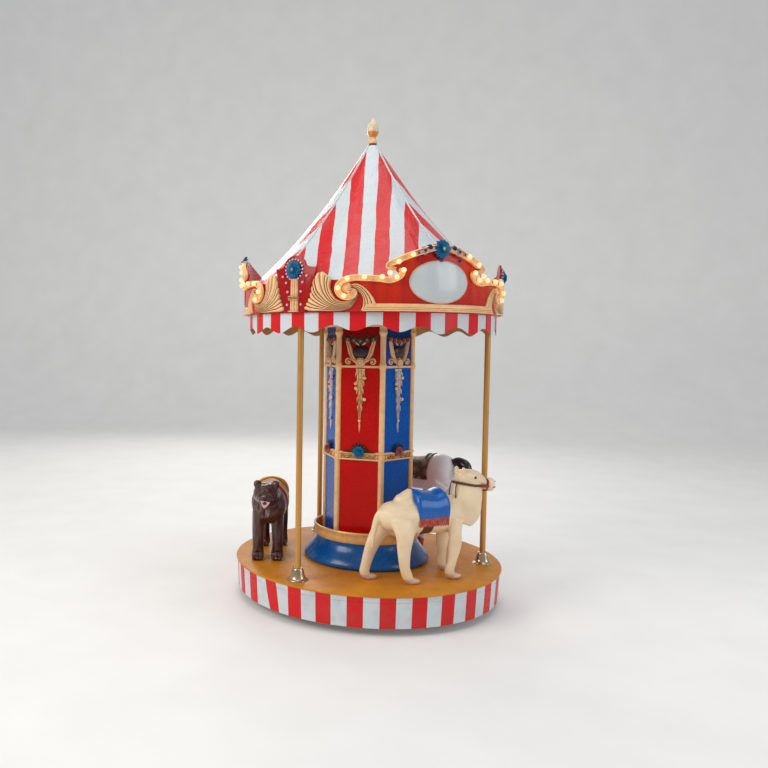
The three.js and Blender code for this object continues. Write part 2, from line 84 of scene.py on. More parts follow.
class Shader:
    """A material whose node tree is built step by step."""

    def __init__(self, name):
        self.material = bpy.data.materials.new(name)
        self.material.use_nodes = True
        self.tree = self.material.node_tree
        self.tree.nodes.clear()
        self.surface = self.tree.nodes.new("ShaderNodeBsdfPrincipled")
        out = self.tree.nodes.new("ShaderNodeOutputMaterial")
        self.tree.links.new(self.surface.outputs[0], out.inputs[0])
        self.place = self.add("TexCoord").outputs["Object"]

    def add(self, kind):
        return self.tree.nodes.new("ShaderNode" + kind)

    def put(self, socket, value):
        """Links a socket to another one, or sets its value."""
        if isinstance(value, bpy.types.NodeSocket):
            self.tree.links.new(value, socket)
        elif isinstance(value, tuple) and len(value) == 3 and len(socket.default_value) == 4:
            socket.default_value = (*value, 1.0)
        else:
            socket.default_value = value

    def set(self, **values):
        names = {
            "colour": "Base Color", "rough": "Roughness", "metal": "Metallic", "coat": "Coat Weight",
            "coat_rough": "Coat Roughness", "normal": "Normal", "glow": "Emission Color",
            "glow_power": "Emission Strength", "specular": "Specular IOR Level",
        }
        for key, value in values.items():
            self.put(self.surface.inputs[names[key]], value)

    def sum(self, kind, *values):
        node = self.add("Math")
        node.operation = kind
        for socket, value in zip(node.inputs, values):
            self.put(socket, value)
        return node.outputs[0]

    def stretched(self, stretch):
        mapping = self.add("Mapping")
        self.put(mapping.inputs["Vector"], self.place)
        mapping.inputs["Scale"].default_value = stretch
        return mapping.outputs[0]

    def noise(self, scale, detail=3.0, rough=0.5, stretch=(1, 1, 1), twist=0.0):
        node = self.add("TexNoise")
        self.put(node.inputs["Vector"], self.stretched(stretch))
        node.inputs["Scale"].default_value = scale
        node.inputs["Detail"].default_value = detail
        node.inputs["Roughness"].default_value = rough
        node.inputs["Distortion"].default_value = twist
        return node.outputs["Fac"]

    def cells(self, scale, stretch=(1, 1, 1)):
        node = self.add("TexVoronoi")
        self.put(node.inputs["Vector"], self.stretched(stretch))
        node.inputs["Scale"].default_value = scale
        return node.outputs["Distance"]

    def span(self, value, low, high, to_low=0.0, to_high=1.0):
        node = self.add("MapRange")
        self.put(node.inputs[0], value)
        for socket, number in zip(node.inputs[1:5], (low, high, to_low, to_high)):
            socket.default_value = number
        return node.outputs[0]

    def blend(self, share, first, second):
        node = self.add("Mix")
        node.data_type = "RGBA"
        self.put(node.inputs["Factor"], share)
        self.put(node.inputs["A"] if "A" in node.inputs else node.inputs[6], first)
        self.put(node.inputs["B"] if "B" in node.inputs else node.inputs[7], second)
        return node.outputs[2]

    def bump(self, height, depth, before=None):
        node = self.add("Bump")
        node.inputs["Strength"].default_value = 1.0
        node.inputs["Distance"].default_value = depth
        self.put(node.inputs["Height"], height)
        if before is not None:
            self.put(node.inputs["Normal"], before)
        return node.outputs[0]

    def attribute(self, name):
        node = self.add("Attribute")
        node.attribute_name = name
        return node.outputs["Fac"]

    def hollows(self, distance):
        """1 in the open, falling to 0 in hollows of about that size."""
        node = self.add("AmbientOcclusion")
        node.samples = 6
        node.inputs["Distance"].default_value = distance
        return node.outputs["AO"]

    def axis(self, number):
        node = self.add("SeparateXYZ")
        self.put(node.inputs[0], self.place)
        return node.outputs[number]


def paint(
    name, colour, dark, rough=0.35, metal=0.0, coat=0.0, grain=14.0, lumps=0.0, hollow_shade=None, shine=0.4,
):
    """Worn paint: its colour drifts to a darker one in patches, and hollows can be darker still with painted
    shade.
    """
    made = Shader(name)
    patches = made.span(made.noise(grain, 4.0, 0.6), 0.38, 0.72)
    tint = made.blend(patches, colour, dark)
    # Painted shade: hollows found by ambient occlusion turn towards the given dark colour.
    if hollow_shade is not None:
        open_share = made.span(made.hollows(hollow_shade[0]), 0.35, 0.85)
        tint = made.blend(open_share, hollow_shade[1], tint)
    fine = made.noise(grain * 9, 2.0)
    made.set(colour=tint, metal=metal, coat=coat, coat_rough=0.12, specular=shine)
    made.set(rough=made.span(fine, 0.3, 0.7, rough * 0.8, rough * 1.25))
    if lumps:
        made.set(normal=made.bump(made.noise(grain * 2.5, 3.0), lumps))
    return made.material


def column_paint(name, colour):
    """Deep even colour, with painted shade that darkens the short fields over the rail, under the canopy."""
    made = Shader(name)
    dark = tuple(part * 0.84 for part in colour)
    tint = made.blend(made.span(made.noise(5.0, 4.0, 0.6), 0.38, 0.72), colour, dark)
    # Painted shade: above the rail the colour falls to a darker copy towards the canopy.
    over = tuple(part * 0.42 for part in colour)
    tint = made.blend(made.span(made.axis(2), 1.57, 1.74, 0.0, 0.85), tint, over)
    made.set(colour=tint, rough=made.span(made.noise(45, 2.0), 0.3, 0.7, 0.22, 0.32), specular=0.12)
    return made.material


def stripe_share(made, turns, start, slip=None):
    """1 on the first half of each of that many equal turns round the axis, from an azimuth."""
    x, y = made.axis(0), made.axis(1)
    turn = made.sum("ARCTAN2", x, made.sum("MULTIPLY", y, -1.0))
    if slip is not None:
        turn = made.sum("ADD", turn, made.attribute(slip))
    count = made.sum("MULTIPLY", made.sum("SUBTRACT", turn, math.radians(start)), turns / (2 * math.pi))
    return made.sum("LESS_THAN", made.sum("FRACT", made.sum("ADD", count, 100.0)), 0.5)


VINYL_RED = (0.66, 0.010, 0.012)
VINYL_WHITE = (0.62, 0.67, 0.70)


def striped_cloth(name, turns, start, gloss=0.42, dirt=0.0, crease=None, slip=None):
    """Striped vinyl cloth round the axis, with patches of dirt."""
    made = Shader(name)
    share = stripe_share(made, turns, start, slip)
    cloth = made.blend(share, VINYL_WHITE, VINYL_RED)
    stains = made.sum("MULTIPLY", made.span(made.noise(7, 5.0, 0.65), 0.48, 0.8), dirt)
    cloth = made.blend(stains, cloth, (0.16, 0.13, 0.09))
    made.set(colour=cloth, coat=0.08, coat_rough=0.25, specular=0.22)
    made.set(rough=made.span(made.noise(60, 2.0), 0.3, 0.7, gloss * 0.85, gloss * 1.2))
    folds = made.bump(made.noise(9, 3.0, 0.5, (1, 1, 0.6)), 0.006)
    if crease is not None:
        across = made.sum("ABSOLUTE", made.sum("SUBTRACT", made.axis(2), crease))
        folds = made.bump(made.span(across, 0.0, 0.004), 0.002, folds)
    made.set(normal=made.bump(made.noise(900, 1.0), 0.0002, folds))
    return made.material


FIRST_STRIPE = 0.0437
STRIPE_PAIR = 0.177
SEAM_HALF_WIDTH = 0.009


def tent_cloth():
    """Glossy vinyl whose stripes run parallel to each gore's middle, with white seams between gores."""
    made = Shader("tent_vinyl")
    wobble = made.span(made.noise(6.0, 2.0), 0.3, 0.7, -0.004, 0.004)
    distance = made.sum("ADD", made.attribute("from_middle"), wobble)
    rows = made.sum("DIVIDE", made.sum("SUBTRACT", distance, FIRST_STRIPE), STRIPE_PAIR)
    red = made.sum("LESS_THAN", made.sum("FRACT", made.sum("ADD", rows, 10.0)), 0.5)
    seam = made.sum("LESS_THAN", made.attribute("from_seam"), SEAM_HALF_WIDTH)
    red = made.sum("MULTIPLY", red, made.sum("SUBTRACT", 1.0, seam))
    cloth = made.blend(red, VINYL_WHITE, VINYL_RED)
    weather = made.sum("MULTIPLY", made.span(made.noise(3.2, 5.0, 0.6), 0.5, 0.85), 0.2)
    cloth = made.blend(weather, cloth, (0.40, 0.36, 0.33))
    made.set(colour=cloth, coat=0.28, coat_rough=0.16, specular=0.25)
    made.set(rough=made.span(made.noise(30, 3.0), 0.3, 0.7, 0.22, 0.34))
    folds = made.bump(made.noise(5.5, 4.0, 0.55, (1, 1, 0.7), 0.6), 0.024)
    made.set(normal=made.bump(made.noise(700, 1.0), 0.0002, folds))
    return made.material


def lit_gilt(name, colour, dark):
    """Gilt with painted lamp light, which turns it orange and makes it glow close to the lamps, and painted
    shade that turns it brown in its hollows.
    """
    made = Shader(name)
    patches = made.span(made.noise(24, 4.0, 0.6), 0.38, 0.72)
    tint = made.blend(patches, colour, dark)
    # Painted shade: brown in hollows found by ambient occlusion.
    tint = made.blend(made.span(made.hollows(0.014), 0.3, 0.85), (0.34, 0.13, 0.03), tint)
    near = made.attribute("lamp_near")
    # Painted lamp light: an orange tint and a glow close to the lamps, though the gilt is no lamp.
    tint = made.blend(made.sum("MULTIPLY", near, 0.7), tint, (1.0, 0.52, 0.18))
    made.set(colour=tint, metal=0.05, coat=0.15, coat_rough=0.12)
    made.set(glow=(1.0, 0.46, 0.12), glow_power=made.sum("MULTIPLY", near, 0.42))
    made.set(rough=made.span(made.noise(216, 2.0), 0.3, 0.7, 0.27, 0.40))
    return made.material


def lit_red():
    """The crests' red, with painted lamp light that turns it orange and makes it glow beside the lamps."""
    made = Shader("crest_red")
    patches = made.span(made.noise(7, 4.0, 0.6), 0.38, 0.72)
    tint = made.blend(patches, (0.52, 0.008, 0.005), (0.42, 0.006, 0.005))
    near = made.attribute("lamp_near")
    # Painted lamp light: an orange tint and a glow by the lamps.
    made.set(colour=made.blend(made.sum("MULTIPLY", near, 0.35), tint, (0.80, 0.10, 0.01)), specular=0.25)
    made.set(glow=(1.0, 0.10, 0.01), glow_power=made.sum("MULTIPLY", near, 0.16))
    made.set(rough=made.span(made.noise(63, 2.0), 0.3, 0.7, 0.2, 0.3), coat=0.12, coat_rough=0.12)
    return made.material


def bulb_glass():
    made = Shader("bulb_glass")
    glow = made.blend(made.span(made.noise(40, 2.0), 0.3, 0.7), (1.0, 0.80, 0.46), (1.0, 0.72, 0.36))
    made.set(colour=(0.55, 0.42, 0.24), glow=glow, glow_power=0.74, rough=0.3)
    return made.material


def fur():
    """Dark glossy brown paint over carved fur."""
    made = Shader("bear_paint")
    locks = made.cells(28, (1, 1, 0.36))
    tint = made.blend(made.span(locks, 0.05, 0.6), (0.014, 0.0035, 0.0025), (0.072, 0.019, 0.012))
    made.set(colour=tint, rough=0.3, coat=0.3, coat_rough=0.2)
    folds = made.bump(locks, 0.018)
    made.set(normal=made.bump(made.noise(110, 3.0, 0.6, (1, 1, 0.3)), 0.003, folds))
    return made.material


def patterned_blanket():
    """A dark cloth with a rose and olive medallion pattern, of a common carpet kind."""
    made = Shader("horse_blanket")
    petals = made.cells(17, (1, 1, 1))
    tint = made.blend(made.span(petals, 0.28, 0.34), (0.36, 0.10, 0.13), (0.055, 0.040, 0.022))
    rim = made.sum("LESS_THAN", made.sum("ABSOLUTE", made.sum("SUBTRACT", petals, 0.43)), 0.035)
    tint = made.blend(rim, tint, (0.30, 0.22, 0.10))
    tint = made.blend(made.sum("LESS_THAN", petals, 0.13), tint, (0.42, 0.24, 0.20))
    made.set(colour=tint, rough=made.span(made.noise(80), 0.3, 0.7, 0.42, 0.6))
    made.set(normal=made.bump(made.noise(260, 3.0), 0.0012))
    return made.material


# An entry that ends in a (reach, colour) pair darkens its hollows towards that colour as painted shade.
FINISH = {
    "steel": paint("steel_paint", (0.055, 0.058, 0.062), (0.10, 0.07, 0.05), 0.55, 0.5, 0.0, 11, 0.0006),
    "deck": paint(
        "deck_paint", (0.62, 0.235, 0.010), (0.50, 0.175, 0.008), 0.46, 0.0, 0.05, 6.0, 0.0005, shine=0.25,
    ),
    "red": column_paint("column_red", (0.54, 0.0050, 0.0024)),
    "crown_red": paint(
        "crown_red", (0.52, 0.008, 0.005), (0.42, 0.006, 0.005), 0.24, 0.0, 0.1, 7.0, shine=0.25,
    ),
    "crest_red": lit_red(),
    "panel_red": paint(
        "panel_red", (0.38, 0.003, 0.005), (0.30, 0.003, 0.004), 0.3, 0.0, 0.08, 7.0, shine=0.2,
    ),
    "blue": column_paint("column_blue", (0.0, 0.090, 0.42)),
    "base_blue": paint(
        "base_blue", (0.0, 0.085, 0.31), (0.0, 0.055, 0.22), 0.26, 0.0, 0.3, 6.0, 0.0014, shine=0.3,
    ),
    "gold": paint(
        "gold_paint", (0.80, 0.46, 0.18), (0.66, 0.34, 0.11), 0.34, 0.1, 0.15, 24.0, 0.0004,
        (0.012, (0.28, 0.11, 0.025)),
    ),
    "pale_gold": paint(
        "pale_gold", (0.90, 0.55, 0.27), (0.78, 0.43, 0.18), 0.34, 0.05, 0.15, 24.0, 0.0004,
        (0.014, (0.36, 0.15, 0.04)),
    ),
    "silver_gilt": paint(
        "silver_gilt", (0.72, 0.60, 0.54), (0.62, 0.48, 0.42), 0.34, 0.05, 0.15, 24.0, 0.0004,
        (0.014, (0.30, 0.20, 0.16)),
    ),
    "deep_gold": paint("deep_gold", (0.74, 0.30, 0.04), (0.62, 0.22, 0.02), 0.3, 0.2, 0.3, 20.0, 0.0004),
    "crest_gold": lit_gilt("crest_gold", (0.90, 0.58, 0.31), (0.78, 0.46, 0.20)),
    "brass": paint("brass", (0.58, 0.29, 0.07), (0.52, 0.25, 0.055), 0.34, 0.45, 0.1, 2.0),
    "bell_metal": paint("bell_metal", (0.62, 0.48, 0.33), (0.42, 0.30, 0.18), 0.22, 0.9, 0.0, 14.0),
    "white": paint("white_panel", (0.62, 0.66, 0.66), (0.54, 0.58, 0.59), 0.22, 0.0, 0.4, 4.0),
    "cream": paint("cream_paint", (0.72, 0.60, 0.43), (0.62, 0.48, 0.32), 0.3, 0.0, 0.25, 16.0),
    # The camel's brown hollows are painted shade and dirt.
    "camel": paint(
        "camel_paint", (0.90, 0.72, 0.48), (0.80, 0.59, 0.36), 0.34, 0.0, 0.2, 7.0, 0.002,
        (0.03, (0.52, 0.32, 0.16)),
    ),
    "hoof_pink": paint("hoof_pink", (0.74, 0.54, 0.43), (0.62, 0.40, 0.30), 0.34, 0.0, 0.2, 18.0),
    "horse": paint(
        "horse_paint", (0.90, 0.94, 1.0), (0.84, 0.88, 0.94), 0.28, 0.0, 0.3, 5.0, 0.0015,
        (0.03, (0.60, 0.44, 0.34)),
    ),
    "saddle_blue": paint(
        "saddle_blue", (0.0, 0.115, 0.45), (0.0, 0.085, 0.36), 0.24, 0.0, 0.3, 8.0, 0.001, shine=0.3,
    ),
    "saddle_red": paint("saddle_red", (0.50, 0.050, 0.020), (0.38, 0.030, 0.014), 0.34, 0.0, 0.3, 12.0),
    "fringe_red": paint(
        "fringe_red", (0.52, 0.035, 0.025), (0.66, 0.22, 0.16), 0.45, 0.0, 0.0, 40.0, 0.0,
        (0.008, (0.16, 0.01, 0.01)),
    ),
    "strap_dark": paint("strap_dark", (0.10, 0.030, 0.014), (0.06, 0.02, 0.01), 0.4, 0.0, 0.1, 14.0),
    "bridle_red": paint("bridle_red", (0.26, 0.025, 0.015), (0.16, 0.015, 0.010), 0.4, 0.0, 0.1, 14.0),
    "flower_blue": paint(
        "flower_blue", (0.0, 0.24, 0.46), (0.0, 0.13, 0.32), 0.3, 0.0, 0.3, 30.0, 0.0,
        (0.01, (0.0, 0.03, 0.14)),
    ),
    # Pale garland flowers and their hearts, painted dark as painted shade under the canopy.
    "shaded_pale_flower": paint("shaded_pale_flower", (0.10, 0.12, 0.07), (0.05, 0.06, 0.05), 0.4, 0.0, 0.1, 30.0),
    "shaded_flower_heart": paint("shaded_flower_heart", (0.28, 0.30, 0.14), (0.20, 0.20, 0.10), 0.4, 0.0, 0.1, 30.0),
    "flower_red": paint(
        "flower_red", (0.62, 0.19, 0.17), (0.46, 0.10, 0.10), 0.3, 0.0, 0.3, 30.0, 0.0,
        (0.01, (0.08, 0.0, 0.01)),
    ),
    "flower_pink": paint("flower_pink", (0.66, 0.40, 0.40), (0.55, 0.28, 0.30), 0.35, 0.0, 0.2, 30.0),
    "flower_slate": paint("flower_slate", (0.030, 0.050, 0.13), (0.02, 0.03, 0.09), 0.35, 0.0, 0.2, 30.0),
    "rim_pink": paint("rim_pink", (0.68, 0.44, 0.32), (0.58, 0.34, 0.24), 0.35, 0.0, 0.2, 30.0),
    "flower_heart": paint("flower_heart", (0.60, 0.62, 0.16), (0.45, 0.55, 0.25), 0.4, 0.0, 0.1, 40.0),
    "violet": paint("violet_paint", (0.045, 0.025, 0.20), (0.03, 0.02, 0.12), 0.3, 0.0, 0.3, 30.0),
    "leaf": paint("leaf_paint", (0.045, 0.055, 0.022), (0.02, 0.028, 0.018), 0.4, 0.0, 0.2, 30.0),
    "bead": paint("bead_white", (0.62, 0.52, 0.60), (0.55, 0.35, 0.42), 0.2, 0.0, 0.6, 30.0),
    "jewel": paint(
        "dark_jewel", (0.028, 0.008, 0.024), (0.05, 0.012, 0.008), 0.3, 0.0, 0.25, 22.0, shine=0.3,
    ),
    # Tan lining, painted lighter for the light that shines through the cloth from outside.
    "backlit_inside": paint("lining_tan", (0.72, 0.40, 0.15), (0.58, 0.30, 0.10), 0.7, 0.0, 0.0, 9.0),
    "yellow": paint("yellow_paint", (0.76, 0.42, 0.03), (0.66, 0.34, 0.03), 0.3, 0.0, 0.3, 20.0),
    "yellow_green": paint("yellow_green", (0.42, 0.38, 0.05), (0.30, 0.28, 0.04), 0.4, 0.0, 0.2, 20.0),
    "pink": paint("pink_paint", (0.72, 0.42, 0.38), (0.62, 0.30, 0.28), 0.35, 0.0, 0.2, 20.0),
    "seat_orange": paint("seat_orange", (0.78, 0.26, 0.04), (0.62, 0.15, 0.03), 0.34, 0.0, 0.2, 12.0),
    "mane": paint("mane_dark", (0.012, 0.010, 0.026), (0.02, 0.014, 0.03), 0.3, 0.0, 0.4, 30.0, 0.001),
    "hoof_red": paint("hoof_red", (0.60, 0.10, 0.02), (0.46, 0.07, 0.02), 0.3, 0.0, 0.3, 16.0),
    "eye": paint("eye_black", (0.012, 0.008, 0.006), (0.02, 0.01, 0.01), 0.08, 0.0, 0.8, 10.0),
    "bear": fur(),
    "blanket": patterned_blanket(),
    "bulb": bulb_glass(),
    "tent": tent_cloth(),
    "skirt": striped_cloth("skirt_vinyl", 29, -34.7, 0.45, 0.35, SKIRT_CREASE, "slip"),
    "valance": striped_cloth("valance_vinyl", 27, -36.0, 0.32),
}

# Shapes and pieces


class Shape:
    """Points and faces gathered for one piece. Each face has the number of its finish."""

    def __init__(self):
        self.points = []
        self.faces = []
        self.kinds = []

    def add(self, part, kind=0, place=None):
        points, faces = part
        first = len(self.points)
        self.points += [place(p) for p in points] if place else list(points)
        self.faces += [tuple(first + i for i in face) for face in faces]
        self.kinds += [kind] * len(faces)
        return self

    def moved(self, place):
        """Puts every point gathered so far in its place."""
        self.points = [place(p) for p in self.points]
        return self


def settle(thing, replaces, slot):
    """Links a piece that turns with the ride, and hides the solids that it stands for."""
    bpy.context.scene.collection.objects.link(thing)
    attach(thing, "carousel")
    if replaces:
        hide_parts(*replaces)
    return thing


def piece(name, shape, finishes, replaces=(), sharp=35, slot=None):
    """Makes one object from a shape, with its finishes."""
    mesh = bpy.data.meshes.new(name)
    mesh.from_pydata([tuple(p) for p in shape.points], [], shape.faces)
    for finish in [finishes] if isinstance(finishes, str) else finishes:
        mesh.materials.append(FINISH[finish])
    mesh.polygons.foreach_set("material_index", shape.kinds)
    work = bmesh.new()
    work.from_mesh(mesh)
    bmesh.ops.recalc_face_normals(work, faces=work.faces)
    work.to_mesh(mesh)
    work.free()
    mesh.shade_smooth()
    mesh.set_sharp_from_angle(angle=math.radians(sharp))
    return settle(bpy.data.objects.new(name, mesh), replaces, slot)


def eased(points, steps=6, closed=False):
    """A smooth line through points of any number of coordinates, as a list of Vectors."""
    rows = [Vector(p) for p in points]
    count = len(rows)
    spans = count if closed else count - 1
    made = []
    for i in range(spans):
        if closed:
            a, b, c, d = (rows[(i + k) % count] for k in (-1, 0, 1, 2))
        else:
            a, b, c, d = (rows[min(count - 1, max(0, i + k))] for k in (-1, 0, 1, 2))
        for j in range(steps):
            t = j / steps
            made.append(
                0.5 * (2 * b + (c - a) * t + (2 * a - 5 * b + 4 * c - d) * t * t
                       + (3 * b - a - 3 * c + d) * t ** 3)
            )
    if not closed:
        made.append(rows[-1])
    return made


def grid_faces(rows, columns, around=False):
    """Faces of a grid of points, row by row; around joins the last column to the first."""
    faces = []
    wide = columns if around else columns - 1
    for i in range(rows - 1):
        for j in range(wide):
            k = (j + 1) % columns
            faces.append((i * columns + j, i * columns + k, (i + 1) * columns + k, (i + 1) * columns + j))
    return faces


def capped(rows, columns):
    """Faces of a row of rings with a flat cap on either end."""
    last = (rows - 1) * columns
    caps = [tuple(range(columns)), tuple(range(last, last + columns))]
    return grid_faces(rows, columns, around=True) + caps


def looped(rows, columns):
    """Faces of a row of rings whose last one joins the first."""
    last = (rows - 1) * columns
    ends = [(last + j, last + (j + 1) % columns, (j + 1) % columns, j) for j in range(columns)]
    return grid_faces(rows, columns, around=True) + ends


def slab(rows, columns, around=False):
    """Front, back and edge faces that make one thin body of two grids, the second under the first."""
    total = rows * columns
    front = grid_faces(rows, columns, around)
    back = [tuple(total + k for k in reversed(face)) for face in front]
    first = list(range(columns))
    last = [total - 1 - k for k in range(columns)]
    if around:
        borders = [first, last]
    else:
        right = [i * columns + columns - 1 for i in range(1, rows - 1)]
        left = [i * columns for i in range(rows - 2, 0, -1)]
        borders = [first + right + last + left]
    edges = []
    for border in borders:
        edges += [(b, a, total + a, total + b) for a, b in zip(border, border[1:] + border[:1])]
    return front, back, edges


def give(thing, name, values):
    """Stores a number at each point of a piece, for its material."""
    layer = thing.data.attributes.new(name, "FLOAT", "POINT")
    layer.data.foreach_set("value", values)


def lathe(outline, segments=128, hollow=False):
    """Turns [radius, z] corners about the vertical axis; hollow closes the outline on itself."""
    rows = list(outline) + ([outline[0]] if hollow else [])
    points = [
        plan(360 * j / segments, max(radius, 1e-5), z) for radius, z in rows for j in range(segments)
    ]
    faces = grid_faces(len(rows), segments, around=True) if hollow else capped(len(rows), segments)
    return points, faces


def turned_at(spot, outline, segments, hollow=False):
    """A turned body that stands at a spot beside the axis."""
    points, faces = lathe(outline, segments, hollow)
    return [p + spot for p in points], faces


def tube(path, radii, sides=12, closed=False, squash=1.0):
    """A round bar along a path. squash is its depth as a share of its width."""
    points = []
    count = len(path)
    up = Vector((0, 0, 1))
    side = None
    for i, p in enumerate(path):
        ahead = path[(i + 1) % count] if closed or i + 1 < count else p
        behind = path[i - 1] if closed or i > 0 else p
        along = (ahead - behind).normalized()
        if side is None:
            side = along.cross(up)
            if side.length < 1e-4:
                side = along.cross(Vector((1, 0, 0)))
        side = (side - along * side.dot(along)).normalized()
        deep = along.cross(side)
        radius = radii[i] if hasattr(radii, "__len__") else radii
        for j in range(sides):
            turn = 2 * math.pi * j / sides
            points.append(p + side * math.cos(turn) * radius + deep * math.sin(turn) * radius * squash)
    return points, looped(count, sides) if closed else capped(count, sides)


def ball(centre, radii, rings=10, sides=16):
    """A stretched ball."""
    points = []
    for i in range(rings + 1):
        down = math.pi * i / rings
        for j in range(sides):
            turn = 2 * math.pi * j / sides
            wide = max(math.sin(down), 1e-4)
            points.append(
                Vector(centre)
                + Vector((
                    radii[0] * wide * math.cos(turn), radii[1] * wide * math.sin(turn),
                    radii[2] * math.cos(down),
                ))
            )
    return points, grid_faces(rings + 1, sides, around=True)


def relief(path, halves, height, ridges=1, valley=0.35, across=9, lift=0.0):
    """A carved leaf or ribbon on a flat ground. The path is in (along, z); heights stand out of it.
    Its section is a row of ridges with valleys between them."""
    count = len(path)
    points = []
    for i, p in enumerate(path):
        ahead, behind = path[min(i + 1, count - 1)], path[max(i - 1, 0)]
        along = Vector((ahead[0] - behind[0], ahead[1] - behind[1])).normalized()
        normal = Vector((-along[1], along[0]))
        half = halves[i] if hasattr(halves, "__len__") else halves
        for j in range(across):
            u = 2 * j / (across - 1) - 1
            wave = abs(math.sin(math.pi * ridges * (u + 1) / 2))
            crown = math.sqrt(max(0.0, 1 - u * u)) * (valley + (1 - valley) * wave)
            out = lift + height * crown if 0 < j < across - 1 else -0.002
            points.append(Vector((p[0] + normal[0] * half * u, out, p[1] + normal[1] * half * u)))
    faces = grid_faces(count, across)
    faces += [tuple(range(across)), tuple(range((count - 1) * across, count * across))]
    return points, faces


def bloom(x, z, radius, petals=10, rows=3, height=0.02, heart=0.22):
    """A many-petalled flower head on a flat ground, and its heart as a second part."""
    points, faces = [], []
    for row in range(rows):
        share = 1 - row / rows * 0.72
        for k in range(petals):
            turn = 2 * math.pi * (k + 0.5 * (row % 2)) / petals
            first = len(points)
            long, wide = radius * share, radius * share * math.pi / petals * 1.15
            rise = height * (0.25 + 0.75 * row / rows)
            for i in range(6):
                t = i / 5
                half = wide * math.sin(math.pi * min(0.97, 0.12 + 0.86 * t)) ** 0.7
                out = rise + height * 0.45 * math.sin(math.pi * t * 0.9)
                for u in (-1, 0, 1):
                    cup = height * 0.22 * abs(u)
                    a = long * (0.15 + 0.85 * t)
                    px = x + a * math.cos(turn) - u * half * math.sin(turn)
                    pz = z + a * math.sin(turn) + u * half * math.cos(turn)
                    points.append(Vector((px, out + cup, pz)))
                    points.append(Vector((px, out + cup - height * 0.28, pz)))
            for i in range(5):
                a = first + i * 6
                for u in (0, 2):
                    faces.append((a + u, a + u + 2, a + u + 8, a + u + 6))
                    faces.append((a + u + 1, a + u + 7, a + u + 9, a + u + 3))
                faces.append((a, a + 6, a + 7, a + 1))
                faces.append((a + 4, a + 5, a + 11, a + 10))
    middle = ball((x, height * 0.95, z), (radius * heart, height * 0.4, radius * heart), 8, 12)
    return (points, faces), middle


def on_drum(azimuth, radius):
    """Places a point given as (distance along the drum, out of it, height)."""

    def place(p):
        return plan(azimuth + math.degrees(p[0] / radius), radius + p[1], p[2])

    return place


def on_face(azimuth, distance):
    """Places a point given as (across, out, height) on a flat face at a distance from the axis."""
    turn = Matrix.Rotation(math.radians(azimuth), 3, "Z")

    def place(p):
        return turn @ Vector((p[0], -(distance + p[1]), p[2]))

    return place


def board(outline, depth, edge=0.0015, step=0.02):
    """A flat board from its (along, z) outline, with a rounded front edge, cut in upright strips so
    that it bends. Its back lies at 0 and its front at the depth."""
    work = bmesh.new()
    face = work.faces.new([work.verts.new((x, 0, z)) for x, z in outline])
    made = bmesh.ops.extrude_face_region(work, geom=[face])
    front = [v for v in made["geom"] if isinstance(v, bmesh.types.BMVert)]
    bmesh.ops.translate(work, verts=front, vec=(0, depth, 0))
    bmesh.ops.recalc_face_normals(work, faces=work.faces)
    rim = [e for e in work.edges if all(v.co.y > depth - 1e-6 for v in e.verts)]
    bmesh.ops.bevel(work, geom=rim, offset=edge, segments=2, affect="EDGES", profile=0.5)
    low = min(x for x, _ in outline)
    high = max(x for x, _ in outline)
    cut = low + step
    while cut < high:
        everything = [*work.verts, *work.edges, *work.faces]
        bmesh.ops.bisect_plane(work, geom=everything, plane_co=(cut, 0, 0), plane_no=(1, 0, 0))
        cut += step
    work.verts.index_update()
    result = [v.co.copy() for v in work.verts], [tuple(v.index for v in f.verts) for f in work.faces]
    work.free()
    return result


def arc(azimuth):
    """A distance along the crown from its azimuth."""
    return math.radians(azimuth) * BOARD_OUTER


# Deck and skirt


def deck():
    """The round board, with a worn round edge."""
    edge = [
        (-0.004, DECK_LOW), (-0.0008, 0.2392), (0, 0.2415), (0, 0.2465), (-0.0015, 0.2492),
        (-0.004, DECK_TOP),
    ]
    inner = [(radius, DECK_TOP) for radius in (0.7, 0.5, 0.3, 0.05)]
    outline = [(0.05, DECK_LOW), (0.8, DECK_LOW), *[(DECK_RADIUS + out, z) for out, z in edge], *inner]
    shape = Shape().add(lathe(outline, 192))
    return piece("deck_board", shape, "deck", ["deck"], slot="deck_paint")


def skirt_radius(azimuth, z):
    """The skirt leans in towards its foot and ripples a little between its fixings."""
    down = (SKIRT_HIGH - z) / (SKIRT_HIGH - SKIRT_LOW)
    ripple = noise(Vector((azimuth * 0.085, z * 3.0, 4.1))) * 0.0035
    tuck = 0.0012 * math.exp(-((z - SKIRT_CREASE) / 0.006) ** 2)
    return SKIRT_TOP_RADIUS - SKIRT_LEAN * down + ripple * (0.15 + 0.85 * down) - tuck


def stripe_slip(azimuth, z):
    """Where the cloth was pulled askew its stripes slant, in radians at its foot."""
    down = (SKIRT_HIGH - z) / (SKIRT_HIGH - SKIRT_LOW)
    return -math.radians(2.6) * down * math.exp(-((azimuth - 292) / 5) ** 2)


def skirt():
    rows, columns, thick = 26, 720, 0.0012
    front, back, slips = [], [], []
    for i in range(rows):
        z = lerp(SKIRT_LOW, SKIRT_HIGH - 0.0003, i / (rows - 1))
        for j in range(columns):
            azimuth = 360 * j / columns
            radius = skirt_radius(azimuth, z)
            front.append(plan(azimuth, radius, z))
            back.append(plan(azimuth, radius - thick, z))
            slips.append(stripe_slip(azimuth, z))
    outside, inside, edges = slab(rows, columns, around=True)
    shape = Shape().add((front + back, outside + inside + edges))
    cloth = piece("skirt_cloth", shape, "skirt", ["deck_skirt"], slot="striped_vinyl")
    give(cloth, "slip", slips + slips)
    return cloth


# The column and what stands on it


